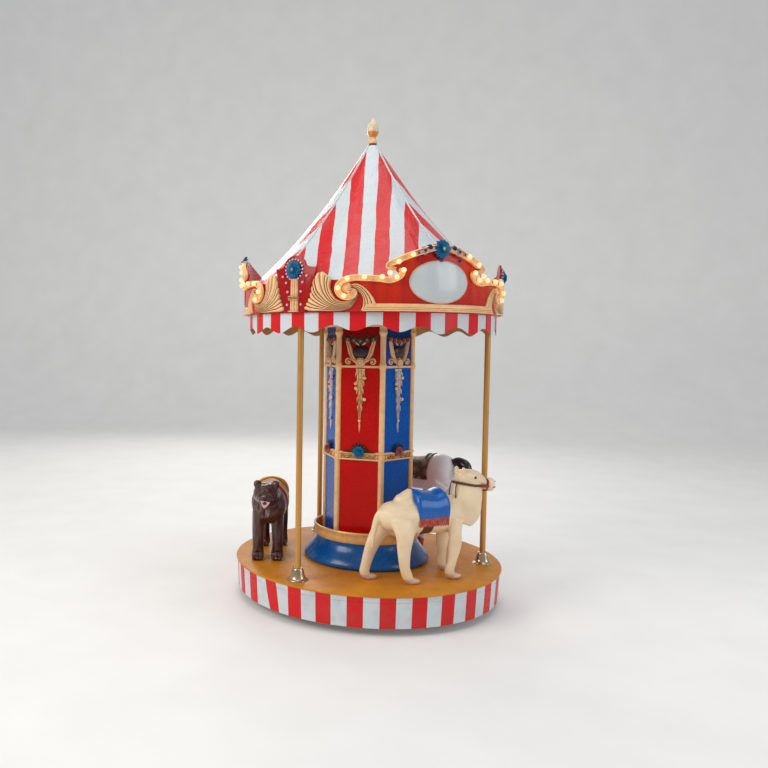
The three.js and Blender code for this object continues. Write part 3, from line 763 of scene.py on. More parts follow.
def column_base():
    bulge = eased([(0.4100, 0.2505), (0.4185, 0.254), (0.4240, 0.262), (0.4250, 0.271), (0.4215, 0.283),
                   (0.4135, 0.297), (0.4005, 0.315), (0.3850, 0.333), (0.3695, 0.353), (0.3580, 0.373),
                   (0.3510, 0.391), (0.3480, 0.4095)], 5)
    outline = [(0.345, ON_DECK), *[tuple(p) for p in bulge], (0.345, 0.4095)]
    shape = Shape().add(lathe(outline, 160, hollow=True))
    return piece("bell_base", shape, "base_blue", ["column_base"], slot="blue_paint")


def column_plinth():
    outline = [
        (0.3452, 0.4099), (0.3500, 0.4099), (0.3525, 0.4140), (0.3530, 0.4300), (0.3550, 0.4500),
        (0.3570, 0.4640), (0.3610, 0.4700), (0.3620, 0.4780), (0.3585, 0.4845), (0.3500, 0.4856),
        (0.3452, 0.4810),
    ]
    shape = Shape().add(lathe(outline, 160, hollow=True))
    return piece("plinth_ring", shape, "gold", ["column_plinth"], slot="gold_paint")


def six_ring(outline):
    """A six-sided ring round the column from a closed (distance, z) outline of its faces."""
    stretch = 1 / math.cos(math.radians(30))
    points = []
    for distance, z in outline:
        points += [plan(COLUMN_TURN + 60 * k, distance * stretch, z) for k in range(6)]
    return points, looped(len(outline), 6)


def corner_post(azimuth):
    """A round corner moulding with a capital and a foot."""
    outline = [
        (0.020, ON_DECK), (0.020, 0.490), (0.0200, 0.943), (0.0245, 0.950), (0.0245, 0.959),
        (0.0195, 0.966), (0.0190, 1.320), (0.0188, 1.552), (0.0215, 1.557), (0.0240, 1.566),
        (0.0240, 1.588), (0.0215, 1.595), (0.0188, 1.600), (0.0188, 1.700), (0.0195, 1.770),
        (0.0235, 1.786), (0.0275, 1.793), (0.0275, 1.806), (0.0245, 1.812), (0.0245, 1.838),
        (0.0275, 1.846), (0.0270, 1.870), (0.0270, UNDER_CANOPY),
    ]
    return turned_at(plan(azimuth, CORNER_CIRCLE), outline, 28)


def column_frame():
    inner = FACE_DISTANCE + 0.0004
    mid = [
        (inner, 0.953), (inner + 0.013, 0.953), (inner + 0.018, 0.957), (inner + 0.018, 0.964),
        (inner + 0.010, 0.969), (inner + 0.009, 0.992), (inner + 0.015, 0.997), (inner + 0.017, 1.004),
        (inner + 0.012, 1.010), (inner, 1.010),
    ]
    rail = [
        (inner, 1.5655), (inner + 0.006, 1.5655), (inner + 0.010, 1.569), (inner + 0.010, 1.578),
        (inner + 0.006, 1.5815), (inner, 1.5815),
    ]
    cornice = [
        (inner, 1.836), (inner + 0.010, 1.836), (inner + 0.012, 1.846), (inner + 0.018, 1.860),
        (inner + 0.024, 1.884), (inner + 0.024, UNDER_CANOPY), (inner, UNDER_CANOPY),
    ]
    shape = Shape()
    for k in range(6):
        shape.add(corner_post(COLUMN_TURN + 60 * k))
    for outline in (mid, rail, cornice):
        shape.add(six_ring(outline))
    return piece("column_mouldings", shape, "pale_gold", ["column_frame"], slot="gold_paint")


def flipped(path):
    return [Vector((-p[0], *p[1:])) for p in path]


def tapered(count, low, high, end=None):
    """Sizes along a path, from low to high and, with an end, on to that."""
    if end is None:
        return [lerp(low, high, i / (count - 1)) for i in range(count)]
    half = count // 2
    first = [lerp(low, high, i / half) for i in range(half)]
    return first + [lerp(high, end, i / (count - half - 1)) for i in range(count - half)]


def curl(centre, radius, turns, start, way=1, count=26, end=0.12):
    """A scroll's spiral in (along, z), from its outer end to its eye."""
    path = []
    for i in range(count):
        t = i / (count - 1)
        turn = math.radians(start) + way * 2 * math.pi * turns * t
        reach = radius * lerp(1.0, end, t)
        path.append(Vector((centre[0] + reach * math.cos(turn), centre[1] + reach * math.sin(turn))))
    return path


def column_ornament(is_blue):
    """A lyre round a dark oval, a garland over it, scrolls at its foot, a rosette and a long pendant."""
    shape = Shape()
    gold, dark, top, leaf, heart, drop_gold = range(6)
    arm = eased([(0.020, 1.608), (0.043, 1.622), (0.060, 1.648), (0.073, 1.688), (0.083, 1.722),
                 (0.092, 1.750)], 6)
    for path in (arm, flipped(arm)):
        shape.add(relief(path, tapered(len(path), 0.009, 0.0175, 0.011), 0.016, 2, 0.5), gold)
    scroll = curl((0.080, 1.606), 0.021, 1.25, 90, -1)
    tail = eased([(0.014, 1.594), (0.040, 1.608), (0.066, 1.622), (0.080, 1.627)], 5)
    for path in (tail, flipped(tail), scroll, flipped(scroll)):
        shape.add(relief(path, tapered(len(path), 0.0080, 0.0045), 0.012, 1, 0.6), gold)
    for side in (-1, 1):
        shape.add(ball((side * 0.080, 0.008, 1.606), (0.0075, 0.006, 0.0075)), gold)
        drop = eased([(side * 0.046, 1.742), (side * 0.026, 1.728), (0, 1.704)], 5)
        shape.add(relief(drop, tapered(len(drop), 0.003, 0.007, 0.003), 0.008, 1, 0.7), gold)
    shape.add(ball((0, 0.001, 1.674), (0.054, 0.014, 0.045), 12, 28), dark)
    for k in range(-2, 3):
        x = 0.044 * k
        z = 1.752 - 0.010 * (2 - abs(k)) * 0.5
        petals, middle = bloom(x, z, 0.018, 7, 2, 0.014, 0.42)
        shape.add(petals, top).add(middle, heart)
    for k in range(-5, 6):
        x = 0.0215 * k
        rise = 1 if k % 2 else -1
        z = 1.752 + rise * 0.010
        path = eased([(x * 0.94, z), (x, z + rise * 0.008), (x + 0.006, z + rise * 0.019)], 4)
        shape.add(relief(path, tapered(len(path), 0.004, 0.009, 0.002), 0.008), leaf)
    petals, middle = bloom(0, 1.5985, 0.036, 12, 2, 0.014, 0.34)
    shape.add(petals, gold).add(middle, gold)
    ring = [Vector((0.020 * math.cos(t), 0.014, 1.5985 + 0.020 * math.sin(t)))
            for t in (2 * math.pi * k / 28 for k in range(28))]
    shape.add(tube(ring, 0.0052, 8, closed=True), gold)
    body = eased([(0, 1.560), (0, 1.520), (0.001, 1.460), (0.000, 1.400), (0.001, 1.330), (0, 1.260),
                  (0, 1.222)], 6)
    widths = tapered(len(body), 0.033, 0.0155, 0.006)
    shape.add(relief(body, widths, 0.013, 3, 0.45, 13), drop_gold)
    for k in range(5):
        z = 1.545 - 0.056 * k
        wide = 0.030 - 0.0042 * k
        for side in (-1, 1):
            path = eased([(side * 0.004, z), (side * wide * 0.8, z - 0.013), (side * wide, z - 0.040)], 5)
            shape.add(relief(path, tapered(len(path), 0.0045, 0.0072, 0.0015), 0.015, 1, 0.7), drop_gold)
    shape.add(ball((0, 0.006, 1.216), (0.0100, 0.009, 0.0100)), drop_gold)
    tip = eased([(0, 1.208), (0, 1.180), (0, 1.138)], 5)
    shape.add(relief(tip, tapered(len(tip), 0.005, 0.0070, 0.001), 0.009), drop_gold)
    for x, z in ((0.030, 1.499), (-0.028, 1.462), (-0.026, 1.430), (0.031, 1.358)):
        shape.add(ball((x, 0.008, z), (0.0125, 0.0115, 0.0125)), drop_gold)
    # On the red faces the garland's pale flowers carry painted shade from the canopy.
    top_finish = "flower_red" if is_blue else "shaded_pale_flower"
    heart_finish = "flower_red" if is_blue else "shaded_flower_heart"
    drop_finish = "silver_gilt" if is_blue else "pale_gold"
    return shape, ["pale_gold", "jewel", top_finish, "leaf", heart_finish, drop_finish]


def band_leaves(is_blue):
    """The leaves and the flower on the middle band, on one face of the column."""
    shape = Shape()
    z, flower_z = 0.980, 1.009
    for side in (-1, 1):
        for k, x in enumerate((0.040, 0.062, 0.084, 0.106)):
            lean = 0.008 if k % 2 else -0.008
            line = [(x - 0.018, z), (x, z + lean), (x + 0.016, z + lean * 0.4)]
            path = eased([(side * across, height) for across, height in line], 4)
            shape.add(relief(path, tapered(len(path), 0.004, 0.008, 0.002), 0.012, 2, 0.5), 0)
        tie = eased([(side * 0.118, z - 0.013), (side * 0.122, z), (side * 0.118, z + 0.013)], 4)
        shape.add(relief(tie, 0.007, 0.013, 1, 0.6), 0)
    spikes = 9
    for k in range(spikes):
        turn = math.radians(6 + 168 * k / (spikes - 1))
        reach = 0.062 if is_blue else 0.112 if k in (0, spikes - 1) else 0.066
        tall = min(reach, 0.068)
        path = [Vector((0.022 * math.cos(turn), flower_z - 0.006 + 0.022 * math.sin(turn))),
                Vector((reach * 0.66 * math.cos(turn), flower_z - 0.006 + tall * 0.62 * math.sin(turn))),
                Vector((reach * math.cos(turn), flower_z - 0.006 + tall * math.sin(turn)))]
        shape.add(relief(path, [0.004, 0.009, 0.001], 0.010, 1, 0.6), 2)
    petals, middle = bloom(0, flower_z, 0.034 if is_blue else 0.040, 11, 3, 0.024, 0.2)
    shape.add(petals, 1).add(middle, 1)
    return shape


def column_dressing():
    for side in range(6):
        azimuth = COLUMN_TURN + 30 + side * 60
        is_blue = side % 2 == 0
        shape, finishes = column_ornament(is_blue)
        shape.moved(on_face(azimuth, FACE_DISTANCE + 0.0005))
        piece(f"column_lyre_{side + 1}", shape, finishes)
        band = band_leaves(is_blue).moved(on_face(azimuth, FACE_DISTANCE + 0.0096))
        colours = ["flower_red", "flower_slate"] if is_blue else ["flower_blue", "leaf"]
        piece(f"column_band_{side + 1}", band, ["gold", *colours])


# Poles


POLE_RADIUS = 0.019
BELL = [
    (0.0193, 0.2503), (0.0640, 0.2503), (0.0645, 0.2530), (0.0625, 0.2560), (0.0560, 0.2590),
    (0.0500, 0.2650), (0.0455, 0.2750), (0.0420, 0.2880), (0.0385, 0.3020), (0.0355, 0.3130),
    (0.0335, 0.3190), (0.0300, 0.3245), (0.0240, 0.3263), (0.0193, 0.3263),
]
COLLAR = [
    (0.0193, 1.865), (0.026, 1.865), (0.028, 1.871), (0.028, 1.901), (0.0193, UNDER_CANOPY - 0.0003),
]


def pole(name, azimuth):
    """A brass pole with a bell over its foot and a collar at its top."""
    foot = plan(azimuth, POLE_CIRCLE)
    bar = [(POLE_RADIUS, ON_DECK), (POLE_RADIUS, UNDER_CANOPY)]
    bell = [tuple(p) for p in eased(BELL, 2)]
    for title, outline, segments, hollow, finish, replaces in (
        ("brass_pole", bar, 40, False, "brass", [f"pole_{name}"]),
        ("bell_flange", bell, 72, True, "bell_metal", [f"pole_bell_{name}"]),
        ("pole_collar", COLLAR, 40, True, "brass", []),
    ):
        shape = Shape().add(turned_at(foot, outline, segments, hollow))
        piece(f"{title}_{name}", shape, finish, replaces, slot=finish)


# Valance, crown wall and tent

VALANCE_TOP = 1.9335
VALANCE_MIDDLE_LOW = 1.803
WAVES = 20
WAVE_LOW_AT = 1.9


def valance_low(azimuth):
    """The scalloped lower edge, which was cut higher towards the front left."""
    uneven = 0.015 * math.exp(-((azimuth - 330) / 22) ** 2)
    return VALANCE_MIDDLE_LOW + uneven - 0.0195 * math.cos(math.radians(WAVES * (azimuth - WAVE_LOW_AT)))


def valance():
    rows, columns, thick = 12, 960, 0.0012
    outer, inner = [], []
    for i in range(rows):
        for j in range(columns):
            azimuth = 360 * j / columns
            z = lerp(valance_low(azimuth), VALANCE_TOP, i / (rows - 1))
            free = 1 - i / (rows - 1)
            sway = noise(Vector((azimuth * 0.07, z * 2, 9.3))) * 0.005 * free
            radius = VALANCE_RADIUS - 0.0002 + min(sway, 0.004)
            outer.append(plan(azimuth, radius, z))
            inner.append(plan(azimuth, radius - thick, z))
    outside, inside, edges = slab(rows, columns, around=True)
    shape = Shape().add((outer + inner, outside))
    for faces, kind in ((inside, 1), (edges, 0)):
        shape.faces += faces
        shape.kinds += [kind] * len(faces)
    cloth = piece("valance_cloth", shape, ["valance", "backlit_inside"], ["valance"], slot="striped_vinyl")
    return cloth


def crown_wall():
    inner, outer, low, high, edge = 0.8293, CROWN_RADIUS, 1.907, 2.099, 0.0015
    outline = [
        (inner, low), (outer - edge, low), (outer, low + edge), (outer, high - edge), (outer - edge, high),
        (inner, high),
    ]
    shape = Shape().add(lathe(outline, 192, hollow=True))
    return piece("crown_wall", shape, "crown_red", ["crown_ring"], slot="red_paint")


TENT_TOP_RADIUS = 0.036
TENT_EAVE_RADIUS = 0.8287
HEM_LOW = 2.085
FIRST_SEAM = 15
GORE_TURN = 90


def tent_height(radius):
    out = radius - TENT_TOP_RADIUS
    return TENT_TOP - 1.584 * out + 0.456 * out * out


def tent_point(azimuth, radius, z, inward=0.0):
    """A point of the tent, its distance from its gore's middle line, and from the seam."""
    half = GORE_TURN / 2
    from_middle = ((azimuth - FIRST_SEAM + 720) % GORE_TURN) - half
    share = 1 - (abs(from_middle) / half) ** 2
    low = smooth_step(0.10, 0.4, radius) * (1 - smooth_step(0.70, 0.81, radius))
    slack = 0.004 * share * low
    wrinkle = noise(Vector((azimuth * 0.11, radius * 5.0, 2.0))) * 0.005 * low
    p = plan(azimuth, radius - inward, z - slack + wrinkle - inward * 0.6)
    aside = abs(radius * math.sin(math.radians(from_middle)))
    to_seam = radius * math.sin(math.radians(half - abs(from_middle)))
    return p, aside, to_seam


def tent():
    around, steps, thick = 360, 72, 0.0015
    rings = [lerp(TENT_TOP_RADIUS, TENT_EAVE_RADIUS, i / steps) for i in range(steps + 1)]
    rings = [(radius, tent_height(radius)) for radius in rings]
    rings += [(TENT_EAVE_RADIUS, lerp(rings[-1][1], HEM_LOW, t)) for t in (0.3, 0.65, 1.0)]
    points, aside, to_seam = [], [], []
    for inward in (0.0, thick):
        for radius, z in rings:
            for j in range(around):
                p, a, s = tent_point(360 * j / around, radius, z, inward)
                points.append(p)
                aside.append(a)
                to_seam.append(s)
    outside, inside, edges = slab(len(rings), around, around=True)
    gores = [f"tent_gore_{side}" for side in ("front", "right", "rear", "left")]
    shape = Shape().add((points, outside + inside + edges))
    cloth = piece("tent_cloth", shape, "tent", gores, sharp=60, slot="striped_vinyl")
    give(cloth, "from_middle", aside)
    give(cloth, "from_seam", to_seam)
    work = bmesh.new()
    work.from_mesh(cloth.data)
    area = sum(f.calc_area() for f in work.faces) / 2
    work.free()
    return cloth


def tent_welts():
    """Round welts sewn along the four seams."""
    shape = Shape()
    for k in range(4):
        path = []
        for i in range(40):
            radius = lerp(TENT_TOP_RADIUS + 0.002, TENT_EAVE_RADIUS, i / 39)
            path.append(plan(FIRST_SEAM + GORE_TURN * k, radius + 0.001, tent_height(radius) + 0.002))
        shape.add(tube(path, 0.0042, 8))
    return piece("tent_welts", shape, "white", slot="striped_vinyl")


def finial():
    """A short dark neck, a collar, a waist and a bud that is gilt below and cream above."""
    neck = [(0.0345, 3.0663), (0.0345, 3.0700), (0.0250, 3.0730), (0.0240, 3.0790)]
    shape = Shape().add(lathe(neck, 48), 0)
    collar = [(0.020, 3.0775), (0.0285, 3.0815), (0.0310, 3.0890), (0.0290, 3.0985), (0.0250, 3.1070),
              (0.0200, 3.1180), (0.0185, 3.1270)]
    shape.add(lathe([tuple(p) for p in eased(collar, 3)], 48), 1)
    rows = [(0.018, 3.124), (0.027, 3.132), (0.034, 3.143), (0.0405, 3.160), (0.042, 3.178), (0.0385, 3.196),
            (0.0310, 3.216), (0.0205, 3.234), (0.0105, 3.249), (0.004, 3.2575), (0.0005, 3.260)]
    outline = [tuple(p) for p in eased(rows, 4)]
    sides = 64
    points = []
    for radius, z in outline:
        for j in range(sides):
            lobe = 1 - 0.06 * abs(math.cos(math.radians(360 * j / sides * 3))) * smooth_step(0, 0.02, radius)
            points.append(plan(360 * j / sides, radius * lobe, z))
    for face in grid_faces(len(outline), sides, around=True):
        height = sum(points[i].z for i in face) / len(face)
        shape.kinds.append(2 if height < 3.160 else 3)
        shape.faces.append(tuple(len(shape.points) + i for i in face))
    shape.points += points
    finishes = ["strap_dark", "pale_gold", "deep_gold", "cream"]
    return piece("finial_bud", shape, finishes, ["finial"], slot="gold_paint")


# Crests

CREST_HALF = 37
CREST_LOW = 1.911
HALF_OUTLINE = [
    (37, 2.091), (31, 2.095), (26, 2.096), (21.5, 2.086), (18.3, 2.100), (16.2, 2.126), (17.6, 2.147),
    (20.2, 2.157), (20.6, 2.173), (18.6, 2.191), (15.4, 2.217), (12, 2.237), (6.6, 2.265), (0, 2.277),
]
# The lower band runs from its volute round the big lamps and along the wing to a small curl. The upper
# one starts behind that curl and makes the crest's arch.
LOWER_BAND = [
    (36.2, 2.024), (35.0, 2.030), (34.0, 2.022), (34.4, 2.004), (36.0, 1.994), (38.2, 1.999), (39.9, 2.020),
    (40.4, 2.048), (39.4, 2.077), (37.2, 2.097), (34.3, 2.105), (31.3, 2.105), (27, 2.102), (24, 2.098),
    (20.8, 2.091), (18.2, 2.102), (16.3, 2.124), (15.8, 2.143), (17.2, 2.152),
]
UPPER_BAND = [
    (18.4, 2.154), (21.2, 2.166), (20.6, 2.184), (18.6, 2.198), (15.6, 2.219), (12.3, 2.239), (8, 2.261),
    (4, 2.278),
]
VOLUTE = (37.4, 2.050)
LAMPS = [
    (36.5, 2.102), (40.1, 2.047), (37.7, 2.000), (30.1, 2.108), (23.6, 2.109), (18.2, 2.107),
    (17.6, 2.196), (12.3, 2.239), (15.7, 2.148), (20.8, 2.131),
]


def lamp_near(points, lamps, reach=0.032):
    """How near each point is to the closest lamp, from 0 to 1."""
    places = np.array([tuple(p) for p in points])
    near = np.zeros(len(places))
    for lamp in lamps:
        far = np.linalg.norm(places - np.array(lamp), axis=1)
        near = np.maximum(near, np.exp(-(far / reach) ** 2))
    return near.tolist()


def crest_board():
    """The red board: a low wing on either side and a high round middle."""
    left = [(-arc(a), z) for a, z in HALF_OUTLINE]
    right = [(arc(a), z) for a, z in reversed(HALF_OUTLINE[:-1])]
    outline = [(-arc(CREST_HALF), CREST_LOW), *left, *right, (arc(CREST_HALF), CREST_LOW)]
    return board(outline, 0.0155, 0.0012)


BAND_SECTION = [
    (-1.0, 0.002), (-1.0, 0.021), (-0.72, 0.026), (-0.45, 0.018), (0.45, 0.018), (0.72, 0.026),
    (1.0, 0.021), (1.0, 0.002),
]


def band_strip(path, thin=0.009, thick=0.0180):
    """A raised gilt band with a hollow along it for the lamps, thinner at its ends."""
    count = len(path)
    points = []
    for i, p in enumerate(path):
        end = min(1.0, min(i, count - 1 - i) / (count * 0.12))
        half = lerp(thin, thick, end)
        ahead, behind = path[min(i + 1, count - 1)], path[max(i - 1, 0)]
        along = (ahead - behind).normalized()
        for u, out in BAND_SECTION:
            points.append(Vector((p[0] - along[1] * half * u, out, p[1] + along[0] * half * u)))
    return points, capped(count, len(BAND_SECTION))


def crest_bands():
    made = []
    for side in (-1, 1):
        made.append(band_strip(eased([(side * arc(a), z) for a, z in LOWER_BAND], 5)))
    left = [(-arc(a), z) for a, z in UPPER_BAND]
    right = [(arc(a), z) for a, z in reversed(UPPER_BAND)]
    made.append(band_strip(eased([*left, (0.0, 2.284), *right], 5)))
    return made


# A fan is a shell of ribs that spring from its outer edge, sweep down and round under the volute and meet
# on its other side. Each line runs so, as (degrees, height), at its share across the shell.
FAN_SHARES = [0, 0.2, 0.325, 0.45, 0.75, 1]
FAN_LINES = [
    [(42.6, 2.100), (43.1, 2.060), (42.3, 2.020), (40.4, 1.985), (37.6, 1.969), (34.8, 1.986), (32.9, 2.028)],
    [(44.7, 2.136), (45.1, 2.080), (44.2, 2.022), (41.9, 1.975), (38.2, 1.960), (34.8, 1.975), (32.6, 2.021)],
    [(47.2, 2.154), (46.8, 2.080), (45.3, 2.018), (42.3, 1.967), (38.4, 1.952), (34.7, 1.966), (32.4, 2.016)],
    [(49.6, 2.118), (48.6, 2.045), (46.3, 1.998), (42.6, 1.956), (38.6, 1.945), (34.6, 1.960), (32.2, 2.011)],
    [(51.6, 1.999), (49.1, 1.971), (46.0, 1.947), (42.4, 1.932), (38.5, 1.930), (34.6, 1.946), (32.0, 2.011)],
    [(54.1, 1.928), (50.6, 1.917), (46.6, 1.917), (42.2, 1.915), (38.0, 1.919), (34.3, 1.940), (31.7, 2.011)],
]
FAN_MARKS = [0, 0.10, 0.20, 0.325, 0.45, 0.56, 0.655, 0.75, 0.84, 0.92, 1]
FAN_STEPS = 6


def fan_place(lines, share, t):
    """The azimuth and height at a share across the shell and a share t along its ribs."""
    k = 0
    while k < len(lines) - 2 and share > lines[k + 1][0]:
        k += 1
    (low, first), (high, second) = lines[k], lines[k + 1]
    mix = (share - low) / (high - low)
    at = t * (len(first) - 1)
    i = min(int(at), len(first) - 2)
    a = first[i].lerp(first[i + 1], at - i)
    b = second[i].lerp(second[i + 1], at - i)
    return a.lerp(b, mix)


def fan_rib(lines, side, low, high):
    """One rib of the fan as a slab with a round back and a round outer end."""
    along, across = 40, 9
    front, back = [], []
    for i in range(along):
        for j in range(across):
            u = 2 * j / (across - 1) - 1
            t = lerp(0.045 * u * u, 1, i / (along - 1))
            azimuth, z = fan_place(lines, lerp(low, high, j / (across - 1)), t)
            rise = smooth_step(-0.02, 0.05, i / (along - 1)) * (1 - 0.45 * smooth_step(0.8, 1, t))
            tall = 0.013 * (1 - 0.8 * abs(u) ** 3) * rise
            front.append(Vector((side * arc(azimuth), 0.0165 + tall, z)))
            back.append(Vector((side * arc(azimuth), 0.0003, z)))
    outside, inside, edges = slab(along, across)
    return front + back, outside + inside + edges


def fan_ribs(side):
    lines = [(share, eased(places, FAN_STEPS)) for share, places in zip(FAN_SHARES, FAN_LINES)]
    return [fan_rib(lines, side, low, high) for low, high in zip(FAN_MARKS, FAN_MARKS[1:])]


LEAF_TOP_EDGE = [(35.3, 2.068), (33.4, 2.073), (31.2, 2.061), (28.9, 2.033), (27.0, 1.998), (25.6, 1.956)]
LEAF_FOOT_EDGE = [(33.8, 2.046), (32.4, 2.028), (31.1, 2.006), (30.5, 1.975), (30.7, 1.940), (31.5, 1.915)]
LEAF_MARKS = [0, 0.24, 0.5, 0.76, 1]


def volute_leaf(side):
    """The leaf of four ribs that falls from a volute's eye to the moulding, over the red board."""
    top = eased(LEAF_TOP_EDGE, 6)
    foot = eased(LEAF_FOOT_EDGE, 6)
    made = []
    across = 9
    for low, high in zip(LEAF_MARKS, LEAF_MARKS[1:]):
        front, back = [], []
        for i, (a, b) in enumerate(zip(foot, top)):
            t = i / (len(top) - 1)
            for j in range(across):
                u = 2 * j / (across - 1) - 1
                azimuth, z = a.lerp(b, lerp(low, high, j / (across - 1)))
                tall = 0.013 * (1 - 0.75 * abs(u) ** 3) * smooth_step(-0.35, 0.3, t)
                front.append(Vector((side * arc(azimuth), 0.0004 + tall, z)))
                back.append(Vector((side * arc(azimuth), 0.0001, z)))
        outside, inside, edges = slab(len(top), across)
        made.append((front + back, outside + inside + edges))
    return made


MOULDING_ROWS = [
    (0.0002, 1.9130), (0.0178, 1.9130), (0.0185, 1.9145), (0.0185, 1.9205), (0.0170, 1.9222),
    (0.0150, 1.9228), (0.0162, 1.9240), (0.0162, 1.9300), (0.0146, 1.9318), (0.0125, 1.9324),
    (0.0140, 1.9340), (0.0138, 1.9440), (0.0110, 1.9520), (0.0080, 1.9560), (0.0060, 1.9572),
    (0.0002, 1.9572),
]


def moulding():
    """Two narrow steps under a broad strip, with ends that slant."""
    count = 60
    points = []
    for i in range(count):
        for out, z in MOULDING_ROWS:
            reach = lerp(arc(31.0), arc(29.3), (z - MOULDING_ROWS[0][1]) / 0.044)
            points.append(Vector((lerp(-reach, reach, i / (count - 1)), out, z)))
    return points, capped(count, len(MOULDING_ROWS))


PLATE_CENTRE = 2.085
PLATE_HALF_WIDTH = 0.195
PLATE_HALF_HEIGHT = 0.1255


def oval(width, height, count=72):
    turns = [2 * math.pi * i / count for i in range(count)]
    return [(width * math.cos(t), PLATE_CENTRE + height * math.sin(t)) for t in turns]


def crest_plate():
    return board(oval(PLATE_HALF_WIDTH - 0.005, PLATE_HALF_HEIGHT - 0.005), 0.0075, 0.002)


def crest_rim():
    path = [Vector((x, 0.005, z)) for x, z in oval(PLATE_HALF_WIDTH - 0.003, PLATE_HALF_HEIGHT - 0.003, 96)]
    return tube(path, 0.0045, 8, closed=True)


def crest(name, azimuth):
    ground = on_drum(azimuth, CROWN_RADIUS + 0.0005)
    face = on_drum(azimuth, BOARD_OUTER + 0.0002)
    lamps = [face((side * arc(a), 0.030, z)) for a, z in LAMPS for side in (-1, 1)]
    red = Shape().add(crest_board(), 0, ground)
    made = piece(f"crest_ground_{name}", red, "crest_red", [f"crest_{name}_board"], slot="red_paint")
    give(made, "lamp_near", lamp_near(red.points, lamps, 0.045))
    plate = Shape().add(crest_plate(), 0, face)
    piece(f"crest_oval_{name}", plate, "white", [f"crest_{name}_plate"], slot="white_panel")
    gold = Shape()
    for strip in crest_bands():
        gold.add(strip, 0, face)
    for side in (-1, 1):
        for rib in volute_leaf(side):
            gold.add(rib, 0, face)
        gold.add(ball((side * arc(36.0), 0.012, 2.023), (0.012, 0.012, 0.012)), 0, face)
        gold.add(ball((side * arc(VOLUTE[0]), 0.001, VOLUTE[1]), (0.034, 0.010, 0.036)), 0, face)
        for rib in fan_ribs(side):
            gold.add(rib, 0, ground)
    gold.add(crest_rim(), 1, face)
    made = piece(f"crest_gold_{name}", gold, ["crest_gold", "rim_pink"], [f"crest_{name}_scroll"],
                 slot="gold_paint")
    give(made, "lamp_near", lamp_near(gold.points, lamps))
    reeds = Shape().add(moulding(), 0, face)
    piece(f"crest_reeds_{name}", reeds, "pale_gold", [f"crest_{name}_moulding"], slot="gold_paint")
    crest_bulbs(name, face)
    crest_flowers(name, face)


def crest_bulbs(name, face):
    """Small round lamps in gilt cups on the bands."""
    shape = Shape()
    for azimuth, z in LAMPS:
        for side in (-1, 1):
            x = side * arc(azimuth)
            shape.add(ball((x, 0.032, z), (0.0152, 0.0152, 0.0152), 12, 18), 0)
            shape.add(ball((x, 0.020, z), (0.0125, 0.0085, 0.0125), 8, 14), 1)
    piece(f"crest_bulbs_{name}", shape.moved(face), ["bulb", "deep_gold"], slot="bulb_glass")


def crest_flowers(name, face):
    """A dahlia at the arch's top, with small flowers beside it on a pale ground and beads under them."""
    shape = Shape()
    top = 2.277
    petals, middle = bloom(0, top, 0.055, 14, 4, 0.030, 0.24)
    shape.add(petals, 0).add(middle, 1)
    for side in (-1, 1):
        line = [(0.052, 2.272), (0.090, 2.266), (0.130, 2.254), (0.172, 2.236)]
        ground = eased([(side * x, z) for x, z in line], 5)
        shape.add(relief(ground, 0.0135, 0.007, 1, 0.9, 9, 0.018), 4)
        petals, middle = bloom(side * 0.079, 2.281, 0.019, 8, 2, 0.026, 0.3)
        shape.add(petals, 5).add(middle, 3)
        petals, middle = bloom(side * 0.112, 2.263, 0.026, 9, 2, 0.026, 0.36)
        shape.add(petals, 2).add(middle, 6)
        petals, middle = bloom(side * 0.150, 2.249, 0.016, 6, 2, 0.026, 0.4)
        shape.add(petals, 2).add(middle, 6)
        shape.add(ball((side * 0.140, 0.006, 2.214), (0.008, 0.006, 0.008)), 3)
    shape.add(ball((0, 0.010, 2.212), (0.014, 0.010, 0.010)), 3)
    finishes = ["flower_blue", "flower_heart", "flower_pink", "violet", "rim_pink", "flower_slate", "jewel"]
    piece(f"crest_flowers_{name}", shape.moved(face), finishes, slot="flower_blue")


# Small panels between the crests


def small_panel(name, azimuth):
    half = [(5.4, 1.911), (10.4, 2.179), (8.2, 2.180), (6.4, 2.185), (5.4, 2.195), (4.9, 2.217), (3.4, 2.239),
            (1.6, 2.250), (0, 2.2515)]
    outline = [(-arc(a), z) for a, z in half] + [(arc(a), z) for a, z in reversed(half[:-1])]
    ground = on_drum(azimuth, CROWN_RADIUS + 0.0005)
    shape = Shape().add(board(outline, 0.0115, 0.0012), 0, ground)
    piece(f"small_panel_{name}", shape, "panel_red", [f"crown_panel_{name}"], slot="red_paint")
    face = on_drum(azimuth, CROWN_RADIUS + 0.0122)
    shape = Shape()
    stick = [Vector((0, lerp(2.112, 1.913, i / 20))) for i in range(21)]
    shape.add(relief(stick, tapered(21, 0.027, 0.031), 0.015, 3, 0.5, 19), 0)
    for z, wide in ((2.006, 0.034), (1.996, 0.036), (1.986, 0.034), (1.917, 0.034)):
        tie = [Vector((-wide, z)), Vector((0, z)), Vector((wide, z))]
        shape.add(relief(tie, 0.0050, 0.020, 1, 0.7), 0)
    petals, middle = bloom(0, 2.167, 0.054, 14, 4, 0.026, 0.18)
    shape.add(petals, 1).add(middle, 2)
    for k in range(18):
        turn = 2 * math.pi * k / 18
        centre = (0.062 * math.cos(turn), 0.006, 2.167 + 0.062 * math.sin(turn))
        shape.add(ball(centre, (0.0072, 0.0072, 0.0072), 6, 10), 3)
    for side in (-1, 1):
        for x, z in ((0.062, 2.090), (0.050, 2.034), (0.090, 2.128), (0.052, 1.957)):
            shape.add(ball((side * x, 0.004, z), (0.0085, 0.0075, 0.0085), 8, 12), 3)
    finishes = ["crest_gold", "flower_blue", "yellow", "bead"]
    piece(f"small_panel_dressing_{name}", shape.moved(face), finishes, slot="gold_paint")


# Riding figures. Each is drawn in its own frame in millimetres: X forward, Y to its left, Z up from the
# deck. A station is [x, y, z, half width, half depth] of a rounded limb, in order along it.


THINNEST = 2


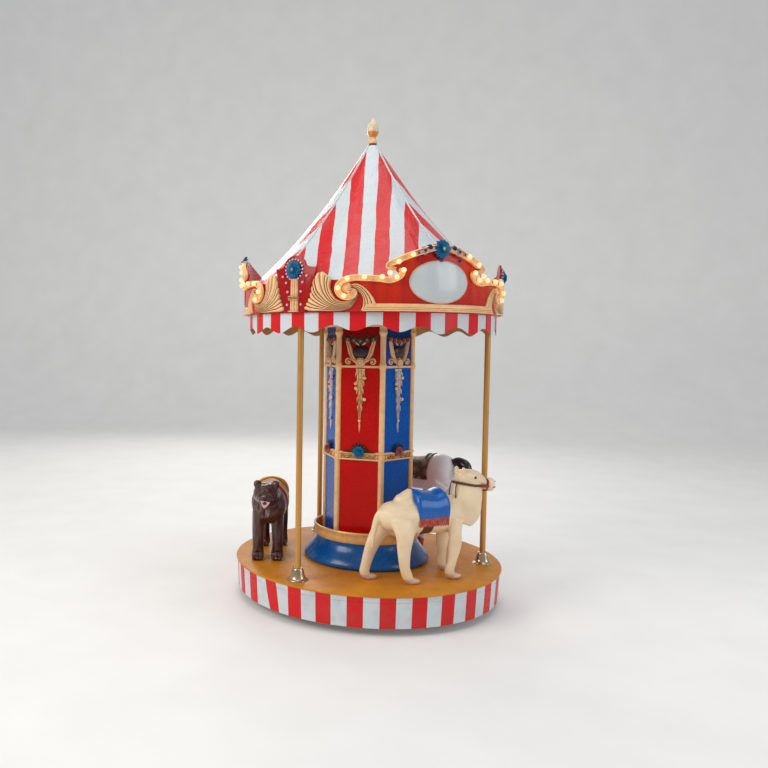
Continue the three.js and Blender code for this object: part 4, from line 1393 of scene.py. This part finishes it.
def limb(stations, sides=20, steps=6):
    rows = eased(stations, steps)
    points = []
    for i, row in enumerate(rows):
        ahead, behind = rows[min(i + 1, len(rows) - 1)], rows[max(i - 1, 0)]
        along = Vector((ahead - behind)[:3]).normalized()
        deep = along.cross(Vector((0, 1, 0))).normalized()
        wide = deep.cross(along).normalized()
        half, depth = max(row[3], THINNEST), max(row[4], THINNEST)
        for j in range(sides):
            turn = 2 * math.pi * j / sides
            across, up = wide * math.cos(turn) * half, deep * math.sin(turn) * depth
            points.append(Vector(row[:3]) + across + up)
    return points, capped(len(rows), sides)


def lump(x, y, z, rx, ry, rz):
    return ball((x, y, z), (rx, ry, rz), 14, 20)


def both(x, y, z, rx, ry, rz):
    """The same lump on the left and on the right."""
    return [lump(x, y, z, rx, ry, rz), lump(x, -y, z, rx, ry, rz)]


CAMEL_TRUNK = [
    [-318, 0, 430, 22, 26], [-268, 0, 418, 78, 76], [-190, 0, 405, 104, 100], [-80, 0, 396, 112, 114],
    [40, 0, 394, 112, 112], [140, 0, 390, 110, 114], [225, 0, 392, 92, 118], [295, 0, 395, 50, 90],
]


def camel_shapes():
    def hind(y, hock, shin, foot):
        return limb([
            [-185, y * 0.7, 392, 50, 94], [(hock - 185) / 2, y, 300, 42, 62], [hock, y, 215, 30, 48],
            [shin, y, 110, 22, 36], [foot, y, 46, 25, 34], [foot + 28, y, 8, 29, 20],
        ])

    def front(y, knee, foot):
        return limb([
            [200, y * 0.75, 375, 45, 66], [knee, y, 290, 33, 46], [knee, y, 212, 32, 46],
            [(knee + foot) / 2, y, 110, 22, 32], [foot, y, 46, 26, 34], [foot + 30, y, 8, 30, 20],
        ])

    def toes(foot, y):
        return [lump(foot + 46, y + 14, 15, 38, 17, 17), lump(foot + 46, y - 14, 15, 38, 17, 17)]

    neck = [
        [318, 0, 318, 50, 68], [338, 0, 380, 64, 116], [347, 0, 455, 68, 120], [358, 0, 535, 60, 114],
        [352, 0, 590, 52, 104], [345, 0, 630, 44, 70],
    ]
    head = [
        [270, 0, 628, 26, 28], [320, 0, 622, 54, 50], [395, 0, 618, 52, 48], [440, 0, 596, 42, 46],
        [490, 0, 568, 33, 36], [520, 0, 563, 33, 34],
    ]
    hump = [
        [-105, 0, 430, 80, 100], [-112, 0, 490, 66, 92], [-104, 0, 525, 46, 58], [-96, 0, 552, 28, 32],
        [-92, 0, 570, 14, 14],
    ]
    tail = [[-296, 0, 448, 20, 22], [-322, 8, 396, 20, 24], [-338, 22, 300, 15, 18], [-340, 30, 214, 9, 10]]
    return [
        limb(CAMEL_TRUNK, 32), limb(neck, 28), limb(head, 28), limb(hump, 28), limb(tail, 16),
        hind(92, -298, -338, -352), hind(-98, -192, -186, -162), front(80, 232, 228), front(-98, 190, 152),
        *toes(-352, 92), *toes(-162, -98), *toes(228, 80), *toes(152, -98),
        *both(297, 34, 664, 16, 12, 28), *both(385, 42, 626, 24, 12, 18), *both(-150, 66, 330, 60, 44, 70),
        lump(425, 0, 622, 34, 40, 28), lump(533, 0, 563, 44, 42, 44), lump(538, 0, 534, 36, 30, 20),
    ]


BEAR_TRUNK = [
    [-290, 0, 355, 40, 50], [-235, 0, 368, 92, 108], [-120, 0, 374, 106, 126], [20, 0, 372, 112, 128],
    [140, 0, 368, 118, 130], [215, 0, 370, 112, 120], [270, 0, 385, 74, 86],
]
BEAR_LEGS = [(-215, 63), (-175, -64), (196, 60), (212, -70)]


def bear_shapes():
    def leg(x, y):
        return limb([
            [x * 0.92, y * 0.9, 320, 50, 80], [x, y, 200, 42, 50], [x, y, 90, 38, 42],
            [x + 4, y, 36, 43, 48], [x + 36, y, 20, 42, 20],
        ])

    head = [
        [200, 0, 430, 84, 84], [270, -8, 462, 90, 82], [330, -11, 462, 82, 70], [380, -12, 452, 54, 48],
        [425, -12, 446, 38, 34], [448, -12, 444, 30, 28],
    ]
    return [
        limb(BEAR_TRUNK, 32), limb(head, 28), *[leg(x, y) for x, y in BEAR_LEGS],
        lump(300, 52, 528, 18, 28, 30), lump(300, -69, 528, 18, 28, 30), lump(446, -12, 462, 16, 20, 14),
        lump(408, -10, 404, 40, 30, 18),
        *[lump(x + 48, y + dy, 16, 28, 12, 14) for x, y in BEAR_LEGS for dy in (-26, 0, 26)],
    ]


HORSE_TRUNK = [
    [-330, 0, 572, 30, 40], [-298, 0, 572, 84, 96], [-220, 0, 560, 110, 126], [-90, 0, 530, 108, 118],
    [40, 0, 520, 104, 114], [140, 0, 524, 102, 118], [220, 0, 535, 82, 108], [270, 0, 550, 30, 60],
]


def horse_shapes():
    neck = [
        [190, 0, 545, 62, 95], [262, 0, 630, 50, 78], [306, 0, 715, 40, 62], [326, 0, 782, 34, 40],
        [330, 0, 812, 20, 20],
    ]
    head = [
        [294, 0, 806, 22, 24], [334, 0, 788, 40, 46], [394, 0, 738, 32, 38], [444, 0, 688, 26, 30],
        [468, 0, 666, 14, 16],
    ]

    def hind(y, knee, foot):
        return limb([
            [-225, y * 0.7, 500, 52, 96], [knee, y, 340, 36, 50], [(knee + foot) / 2 - 24, y, 220, 24, 29],
            [foot - 4, y, 70, 20, 23],
        ])

    def front(y, knee, foot):
        return limb([
            [195, y * 0.75, 490, 42, 62], [knee, y, 310, 28, 34], [foot, y, 160, 20, 23],
            [foot, y, 70, 19, 22],
        ])

    return [
        limb(HORSE_TRUNK, 32), limb(neck, 28), limb(head, 24),
        hind(78, -150, -110), hind(-84, -262, -300), front(80, 215, 250), front(-80, 195, 180),
        *both(320, 26, 836, 12, 9, 24), *both(372, 30, 762, 18, 10, 14), *both(452, 14, 676, 14, 12, 14),
    ]


def hoof(x, y):
    return limb([[x - 4, y, 74, 20, 24], [x + 8, y, 46, 25, 29], [x + 16, y, 2, 30, 35]], 24, 4)


MM = 0.001


def stand(azimuth, circle, heading):
    """Places a point of a figure's own frame, in millimetres, on the deck. The figure is turned by its
    heading from azimuth 0."""
    turn = Matrix.Rotation(math.radians(heading), 3, "Z")
    centre = plan(azimuth, circle * MM, ON_DECK)

    def place(p):
        return centre + turn @ (Vector(p) * MM)

    return place


VOXEL_SIZE = 5.5
SOFTENING_ROUNDS = 5


def carved(name, parts):
    """Melts overlapping parts into one skin, in the figure's own frame."""
    shape = Shape()
    for part in parts:
        shape.add(part)
    mesh = bpy.data.meshes.new(name)
    mesh.from_pydata([tuple(p) for p in shape.points], [], shape.faces)
    work = bmesh.new()
    work.from_mesh(mesh)
    bmesh.ops.recalc_face_normals(work, faces=work.faces)
    work.to_mesh(mesh)
    work.free()
    thing = bpy.data.objects.new(name, mesh)
    bpy.context.scene.collection.objects.link(thing)
    melt = thing.modifiers.new("melt", "REMESH")
    melt.mode = "VOXEL"
    melt.voxel_size = VOXEL_SIZE
    soften = thing.modifiers.new("soften", "SMOOTH")
    soften.factor = 0.6
    soften.iterations = SOFTENING_ROUNDS
    graph = bpy.context.evaluated_depsgraph_get()
    result = bpy.data.meshes.new_from_object(thing.evaluated_get(graph))
    bpy.data.objects.remove(thing)
    bpy.data.meshes.remove(mesh)
    return result


def skin(name, mesh, place, finish, replaces=(), slot=None):
    """The carved mesh as a piece in its place, flat on the deck. finish(x, y, z) gives a material number."""
    corners = [v.co.copy() for v in mesh.vertices]
    tree = BVHTree.FromPolygons(corners, [tuple(p.vertices) for p in mesh.polygons])
    names, number = finish
    for material in names:
        mesh.materials.append(FINISH[material])
    kinds = [number(*(p.center)) for p in mesh.polygons]
    mesh.polygons.foreach_set("material_index", kinds)
    for v in mesh.vertices:
        v.co = place((v.co.x, v.co.y, max(v.co.z, 0.2)))
    mesh.shade_smooth()
    mesh.update()
    mesh.name = name
    settle(bpy.data.objects.new(name, mesh), replaces, slot)
    return tree


def wrapped(tree, rows, thick, count=40, centre_z=390.0):
    """A cloth that lies on a figure's back. Each row is (x, lowest z on either side)."""
    outer, inner = [], []
    for x, low in rows:
        def hit(angle):
            way = Vector((0, math.sin(angle), math.cos(angle)))
            start = Vector((x, 0, centre_z)) + way * 400
            found = tree.ray_cast(start, -way)
            return found[0], way

        span = []
        for side in (-1, 1):
            best = 0.2
            for k in range(20, 175, 3):
                angle = math.radians(k) * side
                spot, _ = hit(angle)
                if spot is None or spot.z < low:
                    break
                best = math.radians(k)
            span.append(best * side)
        for j in range(count):
            angle = lerp(span[0], span[1], j / (count - 1))
            spot, way = hit(angle)
            if spot is None:
                spot = Vector((x, 0, centre_z)) + way * 110
            outer.append(spot + way * thick)
            inner.append(spot - way * 2)
    front, back, edges = slab(len(rows), count)
    return outer + inner, front + back + edges


SEAT_TOP = [(-94, 548), (-66, 570), (12, 556), (54, 553), (117, 569), (140, 556), (152, 530)]
SEAT_LOW = 400
SEAT_HALF_WIDTH = 118
SEAT_LIP = [9, 3.5, 1]


def moulded_seat():
    """The camel's saddle with its raised front and rear, in the figure's own frame."""
    across = 33
    ridge = eased(SEAT_TOP, 5)
    points = []
    for i, (x, top) in enumerate(ridge):
        from_end = min(i, len(ridge) - 1 - i)
        inset = SEAT_LIP[from_end] if from_end < len(SEAT_LIP) else 0
        for j in range(across):
            turn = math.radians(lerp(-90, 90, j / (across - 1)))
            rise = max(math.cos(turn), 0) ** 0.62
            lean = 18 * (1 - rise) * smooth_step(60, 150, x)
            wide = (SEAT_HALF_WIDTH - inset) * math.sin(turn)
            points.append(Vector((x - lean, wide, SEAT_LOW + (top - inset - SEAT_LOW) * rise)))
    faces = grid_faces(len(ridge), across)
    last = (len(ridge) - 1) * across
    faces += [tuple(range(across)), tuple(range(last, last + across))]
    for i in range(len(ridge) - 1):
        faces.append((i * across, i * across + across - 1, (i + 2) * across - 1, (i + 1) * across))
    return points, faces


def camel():
    place = stand(8.8, 570, 5)
    mesh = carved("camel_skin", camel_shapes())

    def number(x, y, z):
        return 1 if z < 34 else 0

    tree = skin("camel_skin", mesh, place, (["camel", "hoof_pink"], number), ["camel_figure"], "camel_paint")
    seat = Shape().add(moulded_seat(), 0, place)
    piece("camel_seat", seat, "saddle_blue", ["camel_saddle"], slot="saddle_blue")
    camel_trim(tree, place)


def camel_fringe(shape, tree, place):
    tassels = 24
    for side in (-1, 1):
        way = Vector((0, side, 0))
        for k in range(tassels):
            x = lerp(-88, 126, k / (tassels - 1))
            low = 345 if k % 2 else 352
            top = tree.ray_cast(Vector((x, side * 400, 402)), -way)[0]
            foot = tree.ray_cast(Vector((x, side * 400, low)), -way)[0]
            if top is None or foot is None:
                continue
            path = eased([top + way * 6, (top + foot) / 2 + way * 9, foot + way * 7], 3)
            shape.add(tube(path, [3.6, 4.0, 4.2, 4.2, 4.4, 4.6, 3.0], 7), 0, place)


def camel_bridle(shape, place):
    def strap(path, radius, finish, squash=1.0):
        shape.add(tube(eased(path, 5), radius, 8, squash=squash), finish, place)

    half = [(430, 51, 563), (360, 58, 572), (290, 48, 586), (256, 26, 593), (246, 0, 595)]
    strap(mirrored_arch([(x, -y, z) for x, y, z in half]), 5, 1, 1.6)
    for side in (-1, 1):
        strap([(498, side * 40, 556), (466, side * 46, 559), (428, side * 51, 563)], 6, 2, 1.6)
        strap([(250, side * 26, 586), (242, side * 30, 540), (240, side * 34, 492), (214, side * 36, 488),
               (180, side * 40, 497)], 3.5, 1)
    ring = [(494, -38, 556), (500, -32, 590), (502, 0, 602), (500, 32, 590), (494, 38, 556), (490, 30, 530),
            (488, 0, 522), (490, -30, 530)]
    shape.add(tube(eased(ring, 5, closed=True), 5, 8, closed=True), 2, place)


def camel_trim(tree, place):
    shape = Shape()
    girth = [(x, 296) for x in (-52, -34, -12, 8, 22)]
    shape.add(wrapped(tree, girth, 4), 1, place)
    camel_fringe(shape, tree, place)
    camel_bridle(shape, place)
    for side in (-1, 1):
        shape.add(lump(380, side * 51, 620, 11, 8, 10), 3, place)
        shape.add(lump(567, side * 18, 580, 6, 5, 5), 3, place)
        mouth = eased([(577, 0, 548), (564, side * 28, 545), (539, side * 42, 543)], 5)
        shape.add(tube(mouth, 2.4, 6), 3, place)
    piece("camel_trim", shape, ["fringe_red", "strap_dark", "bridle_red", "eye"], slot="saddle_red")


def mirrored_arch(half):
    """An arch over a back, from its foot on one side to its top in the middle and down again."""
    return half + [(x, -y, z) for x, y, z in half[-2::-1]]


def bear():
    place = stand(-116.2, 663, -116)
    mesh = carved("bear_skin", bear_shapes())
    tree = skin("bear_skin", mesh, place, (["bear"], lambda x, y, z: 0), ["bear_figure"], "bear_paint")
    rows = [(lerp(-128, 112, i / 20), 340) for i in range(21)]
    seat = Shape().add(wrapped(tree, rows, 12, centre_z=380), 0, place)
    arch = mirrored_arch([(-80, 104, 392), (-80, 100, 445), (-80, 70, 486), (-80, 0, 506)])
    seat.add(tube(eased(arch, 6), 20, 14, squash=0.6), 3, place)
    crown = mirrored_arch([(-62, 112, 385), (-62, 110, 448), (-62, 78, 498), (-62, 0, 518)])
    seat.add(tube(eased(crown, 6), 7, 10), 1, place)
    strap = [(x, 268) for x in (-10, 8, 26)]
    seat.add(wrapped(tree, strap, 15, centre_z=380), 2, place)
    finishes = ["saddle_red", "yellow", "yellow_green", "seat_orange"]
    piece("bear_seat", seat, finishes, ["bear_saddle"], slot="saddle_red")
    face = Shape()
    for y in (22, -46):
        spot = tree.ray_cast(Vector((600, y, 474)), Vector((-1, 0, 0)))[0]
        face.add(lump(spot.x, y, 474, 9, 11, 11), 0, place)
    face.add(lump(461, -12, 467, 10, 15, 10), 0, place)
    mouth = [(-34, 450), (-2, 444), (30, 438), (14, 416), (-8, 396), (-24, 418)]
    points = [Vector((x, y, z)) for x in (456, 432) for y, z in mouth]
    count = len(mouth)
    faces = [tuple(range(count)), tuple(range(2 * count - 1, count - 1, -1))]
    faces += [(k, k + count, (k + 1) % count + count, (k + 1) % count) for k in range(count)]
    face.add((points, faces), 1, place)
    face.add(lump(455, -5, 431, 4, 15, 11), 0, place)
    piece("bear_face", face, ["eye", "pink"], slot="bear_paint")


def horse():
    place = stand(113.5, 562, 117)
    mesh = carved("horse_skin", horse_shapes())
    tree = skin("horse_skin", mesh, place, (["horse"], lambda x, y, z: 0), ["horse_figure"], "horse_paint")
    hooves = Shape()
    for x, y in ((-110, 78), (-300, -84), (250, 80), (180, -80)):
        hooves.add(hoof(x, y), 0, place)
    hooves.points = [Vector((p.x, p.y, max(p.z, ON_DECK + 0.0002))) for p in hooves.points]
    piece("horse_hooves", hooves, "hoof_red", slot="horse_paint")
    rows = [(lerp(-165, 108, i / 24), 500) for i in range(25)]
    cloth = Shape().add(wrapped(tree, rows, 9, centre_z=530), 0, place)
    roll = mirrored_arch([(-130, 78, 600), (-126, 50, 650), (-122, 0, 668)])
    cloth.add(tube(eased(roll, 6), 14, 12), 0, place)
    piece("horse_blanket_cloth", cloth, "blanket", ["horse_saddle"], slot="saddle_red")
    hair = Shape()
    tail = [
        [-300, 0, 628, 20, 22], [-335, 0, 640, 30, 34], [-375, 0, 632, 38, 40], [-408, 2, 610, 38, 44],
        [-420, 4, 560, 36, 38], [-424, 4, 500, 30, 32], [-424, 2, 440, 20, 20], [-422, 0, 404, 6, 8],
    ]
    hair.add(limb(tail, 24), 0, place)
    for k in range(9):
        t = k / 8
        x, z = lerp(300, 210, t), lerp(826, 660, t)
        lock = [
            [x, 0, z, 12, 14], [x - 20, 16, z - 10, 12, 16], [x - 34, 34, z - 44, 10, 14],
            [x - 30, 42, z - 80, 3, 5],
        ]
        hair.add(limb(lock, 12, 4), 0, place)
    piece("horse_hair", hair, "mane", slot="tail_dark")
    trim = Shape()
    for side in (-1, 1):
        trim.add(lump(382, side * 36, 758, 9, 7, 9), 0, place)
        trim.add(lump(462, side * 12, 672, 5, 4, 5), 0, place)
        cheek = eased([(330, side * 42, 812), (372, side * 38, 740), (424, side * 32, 706)], 5)
        trim.add(tube(cheek, 4.5, 8), 1, place)
    for x, z, wide, deep in ((424, 706, 32, 36), (356, 780, 40, 44)):
        ring = []
        for k in range(20):
            turn = 2 * math.pi * k / 20
            out = math.sin(turn) * deep
            ring.append(Vector((x + out * 0.62, math.cos(turn) * wide, z + out * 0.78)))
        trim.add(tube(ring, 4.5, 8, closed=True), 1, place)
    piece("horse_trim", trim, ["eye", "bridle_red"], slot="tail_dark")


# Carried-over CAD pieces keep their shape and take a finish and soft edges


def carry_over():
    steel = ("base_frame", "pivot_post", "turntable_frame", "column_mast", "canopy_ring", "canopy_arms")
    finishes = {name: "steel" for name in steel}
    for number in (1, 2, 3):
        finishes[f"column_panel_blue_{number}"] = "blue"
        finishes[f"column_panel_red_{number}"] = "red"
    for name, finish in finishes.items():
        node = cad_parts[name]
        node.data.materials.clear()
        node.data.materials.append(FINISH[finish])
        soft = node.modifiers.new("soft_edges", "BEVEL")
        soft.width = 0.001
        soft.segments = 2
        soft.limit_method = "ANGLE"
        soft.angle_limit = math.radians(50)


# Floor, light and camera


def floor():
    """A pale floor that curves up into a backdrop far behind."""
    outline = [(-14, 0.0), (9, 0.0)] + [
        (9 + 3 * math.sin(math.radians(a)), 3 - 3 * math.cos(math.radians(a))) for a in range(10, 91, 10)
    ] + [(12, 14)]
    points = []
    turn = Matrix.Rotation(math.radians(CAMERA_AZIMUTH), 3, "Z")
    for x in (-30, 30):
        points += [turn @ Vector((x, y, z)) for y, z in outline]
    count = len(outline)
    mesh = bpy.data.meshes.new("floor")
    mesh.from_pydata(points, [], [(k, k + 1, count + k + 1, count + k) for k in range(count - 1)])
    made = Shader("floor_paper")
    speck = made.span(made.noise(2.0, 3.0), 0.3, 0.7)
    made.set(colour=made.blend(speck, (0.79, 0.79, 0.78), (0.75, 0.75, 0.74)), rough=0.7)
    made.set(glow=(1.0, 1.0, 0.98), glow_power=0.10)
    mesh.materials.append(made.material)
    mesh.shade_smooth()
    thing = bpy.data.objects.new("floor", mesh)
    bpy.context.scene.collection.objects.link(thing)


CAMERA_AZIMUTH = -27.93
CAMERA_DISTANCE = 5.4682
CAMERA_HEIGHT = 1.7167
CAMERA_YAW = -9.787
CAMERA_PITCH = 2.949
CAMERA_ROLL = 0.512
CAMERA_LENS = 36.602
CAMERA_SHIFT = 0.1953


def camera():
    data = bpy.data.cameras.new("camera")
    data.sensor_width = 36
    data.lens = CAMERA_LENS
    data.shift_x = CAMERA_SHIFT
    yaw, pitch, roll = (math.radians(a) for a in (CAMERA_YAW, CAMERA_PITCH, CAMERA_ROLL))
    right = Vector((math.cos(yaw), -math.sin(yaw), 0))
    level = Vector((math.sin(yaw), math.cos(yaw), 0))
    ahead = level * math.cos(pitch) - Vector((0, 0, math.sin(pitch)))
    up = Vector((0, 0, math.cos(pitch))) + level * math.sin(pitch)
    across = right * math.cos(roll) + up * math.sin(roll)
    above = up * math.cos(roll) - right * math.sin(roll)
    turn = Matrix.Rotation(math.radians(CAMERA_AZIMUTH), 3, "Z")
    axes = Matrix((turn @ across, turn @ above, turn @ -ahead)).transposed()
    thing = bpy.data.objects.new("camera", data)
    where = Matrix.Translation(plan(CAMERA_AZIMUTH, CAMERA_DISTANCE, CAMERA_HEIGHT))
    thing.matrix_world = where @ axes.to_4x4()
    bpy.context.scene.collection.objects.link(thing)
    bpy.context.scene.camera = thing


LIGHT_AIM = 1.3


def light(name, azimuth, radius, height, size, power, colour):
    data = bpy.data.lights.new(name, "AREA")
    data.shape = "RECTANGLE"
    data.size, data.size_y = size
    data.energy = power
    data.color = colour
    thing = bpy.data.objects.new(name, data)
    thing.location = plan(azimuth, radius, height)
    thing.rotation_mode = "QUATERNION"
    thing.rotation_quaternion = (Vector((0, 0, LIGHT_AIM)) - thing.location).to_track_quat("-Z", "Y")
    bpy.context.scene.collection.objects.link(thing)


def studio():
    light("key", -80, 8.0, 5.5, (4.5, 4.0), 400, (1.0, 0.95, 0.88))
    light("fill", 40, 8.0, 3.5, (4.0, 4.0), 130, (0.95, 0.97, 1.0))
    light("top", 10, 1.0, 8.0, (6.0, 6.0), 180, (1.0, 1.0, 1.0))
    light("back", 165, 8.0, 5.0, (5.0, 3.0), 200, (1.0, 0.95, 0.88))
    world = bpy.data.worlds.new("studio")
    world.use_nodes = True
    world.node_tree.nodes["Background"].inputs[0].default_value = (0.80, 0.82, 0.85, 1)
    world.node_tree.nodes["Background"].inputs[1].default_value = 0.48
    bpy.context.scene.world = world
    bpy.context.scene.view_settings.view_transform = "Standard"


deck()
skirt()
column_base()
column_plinth()
column_frame()
column_dressing()
for pole_name, pole_azimuth in POLE_AZIMUTHS.items():
    pole(pole_name, pole_azimuth)
    small_panel(pole_name, pole_azimuth)
valance()
crown_wall()
tent()
tent_welts()
finial()
for crest_name, crest_azimuth in CREST_AZIMUTHS.items():
    crest(crest_name, crest_azimuth)
camel()
bear()
horse()
carry_over()
floor()
camera()
studio()
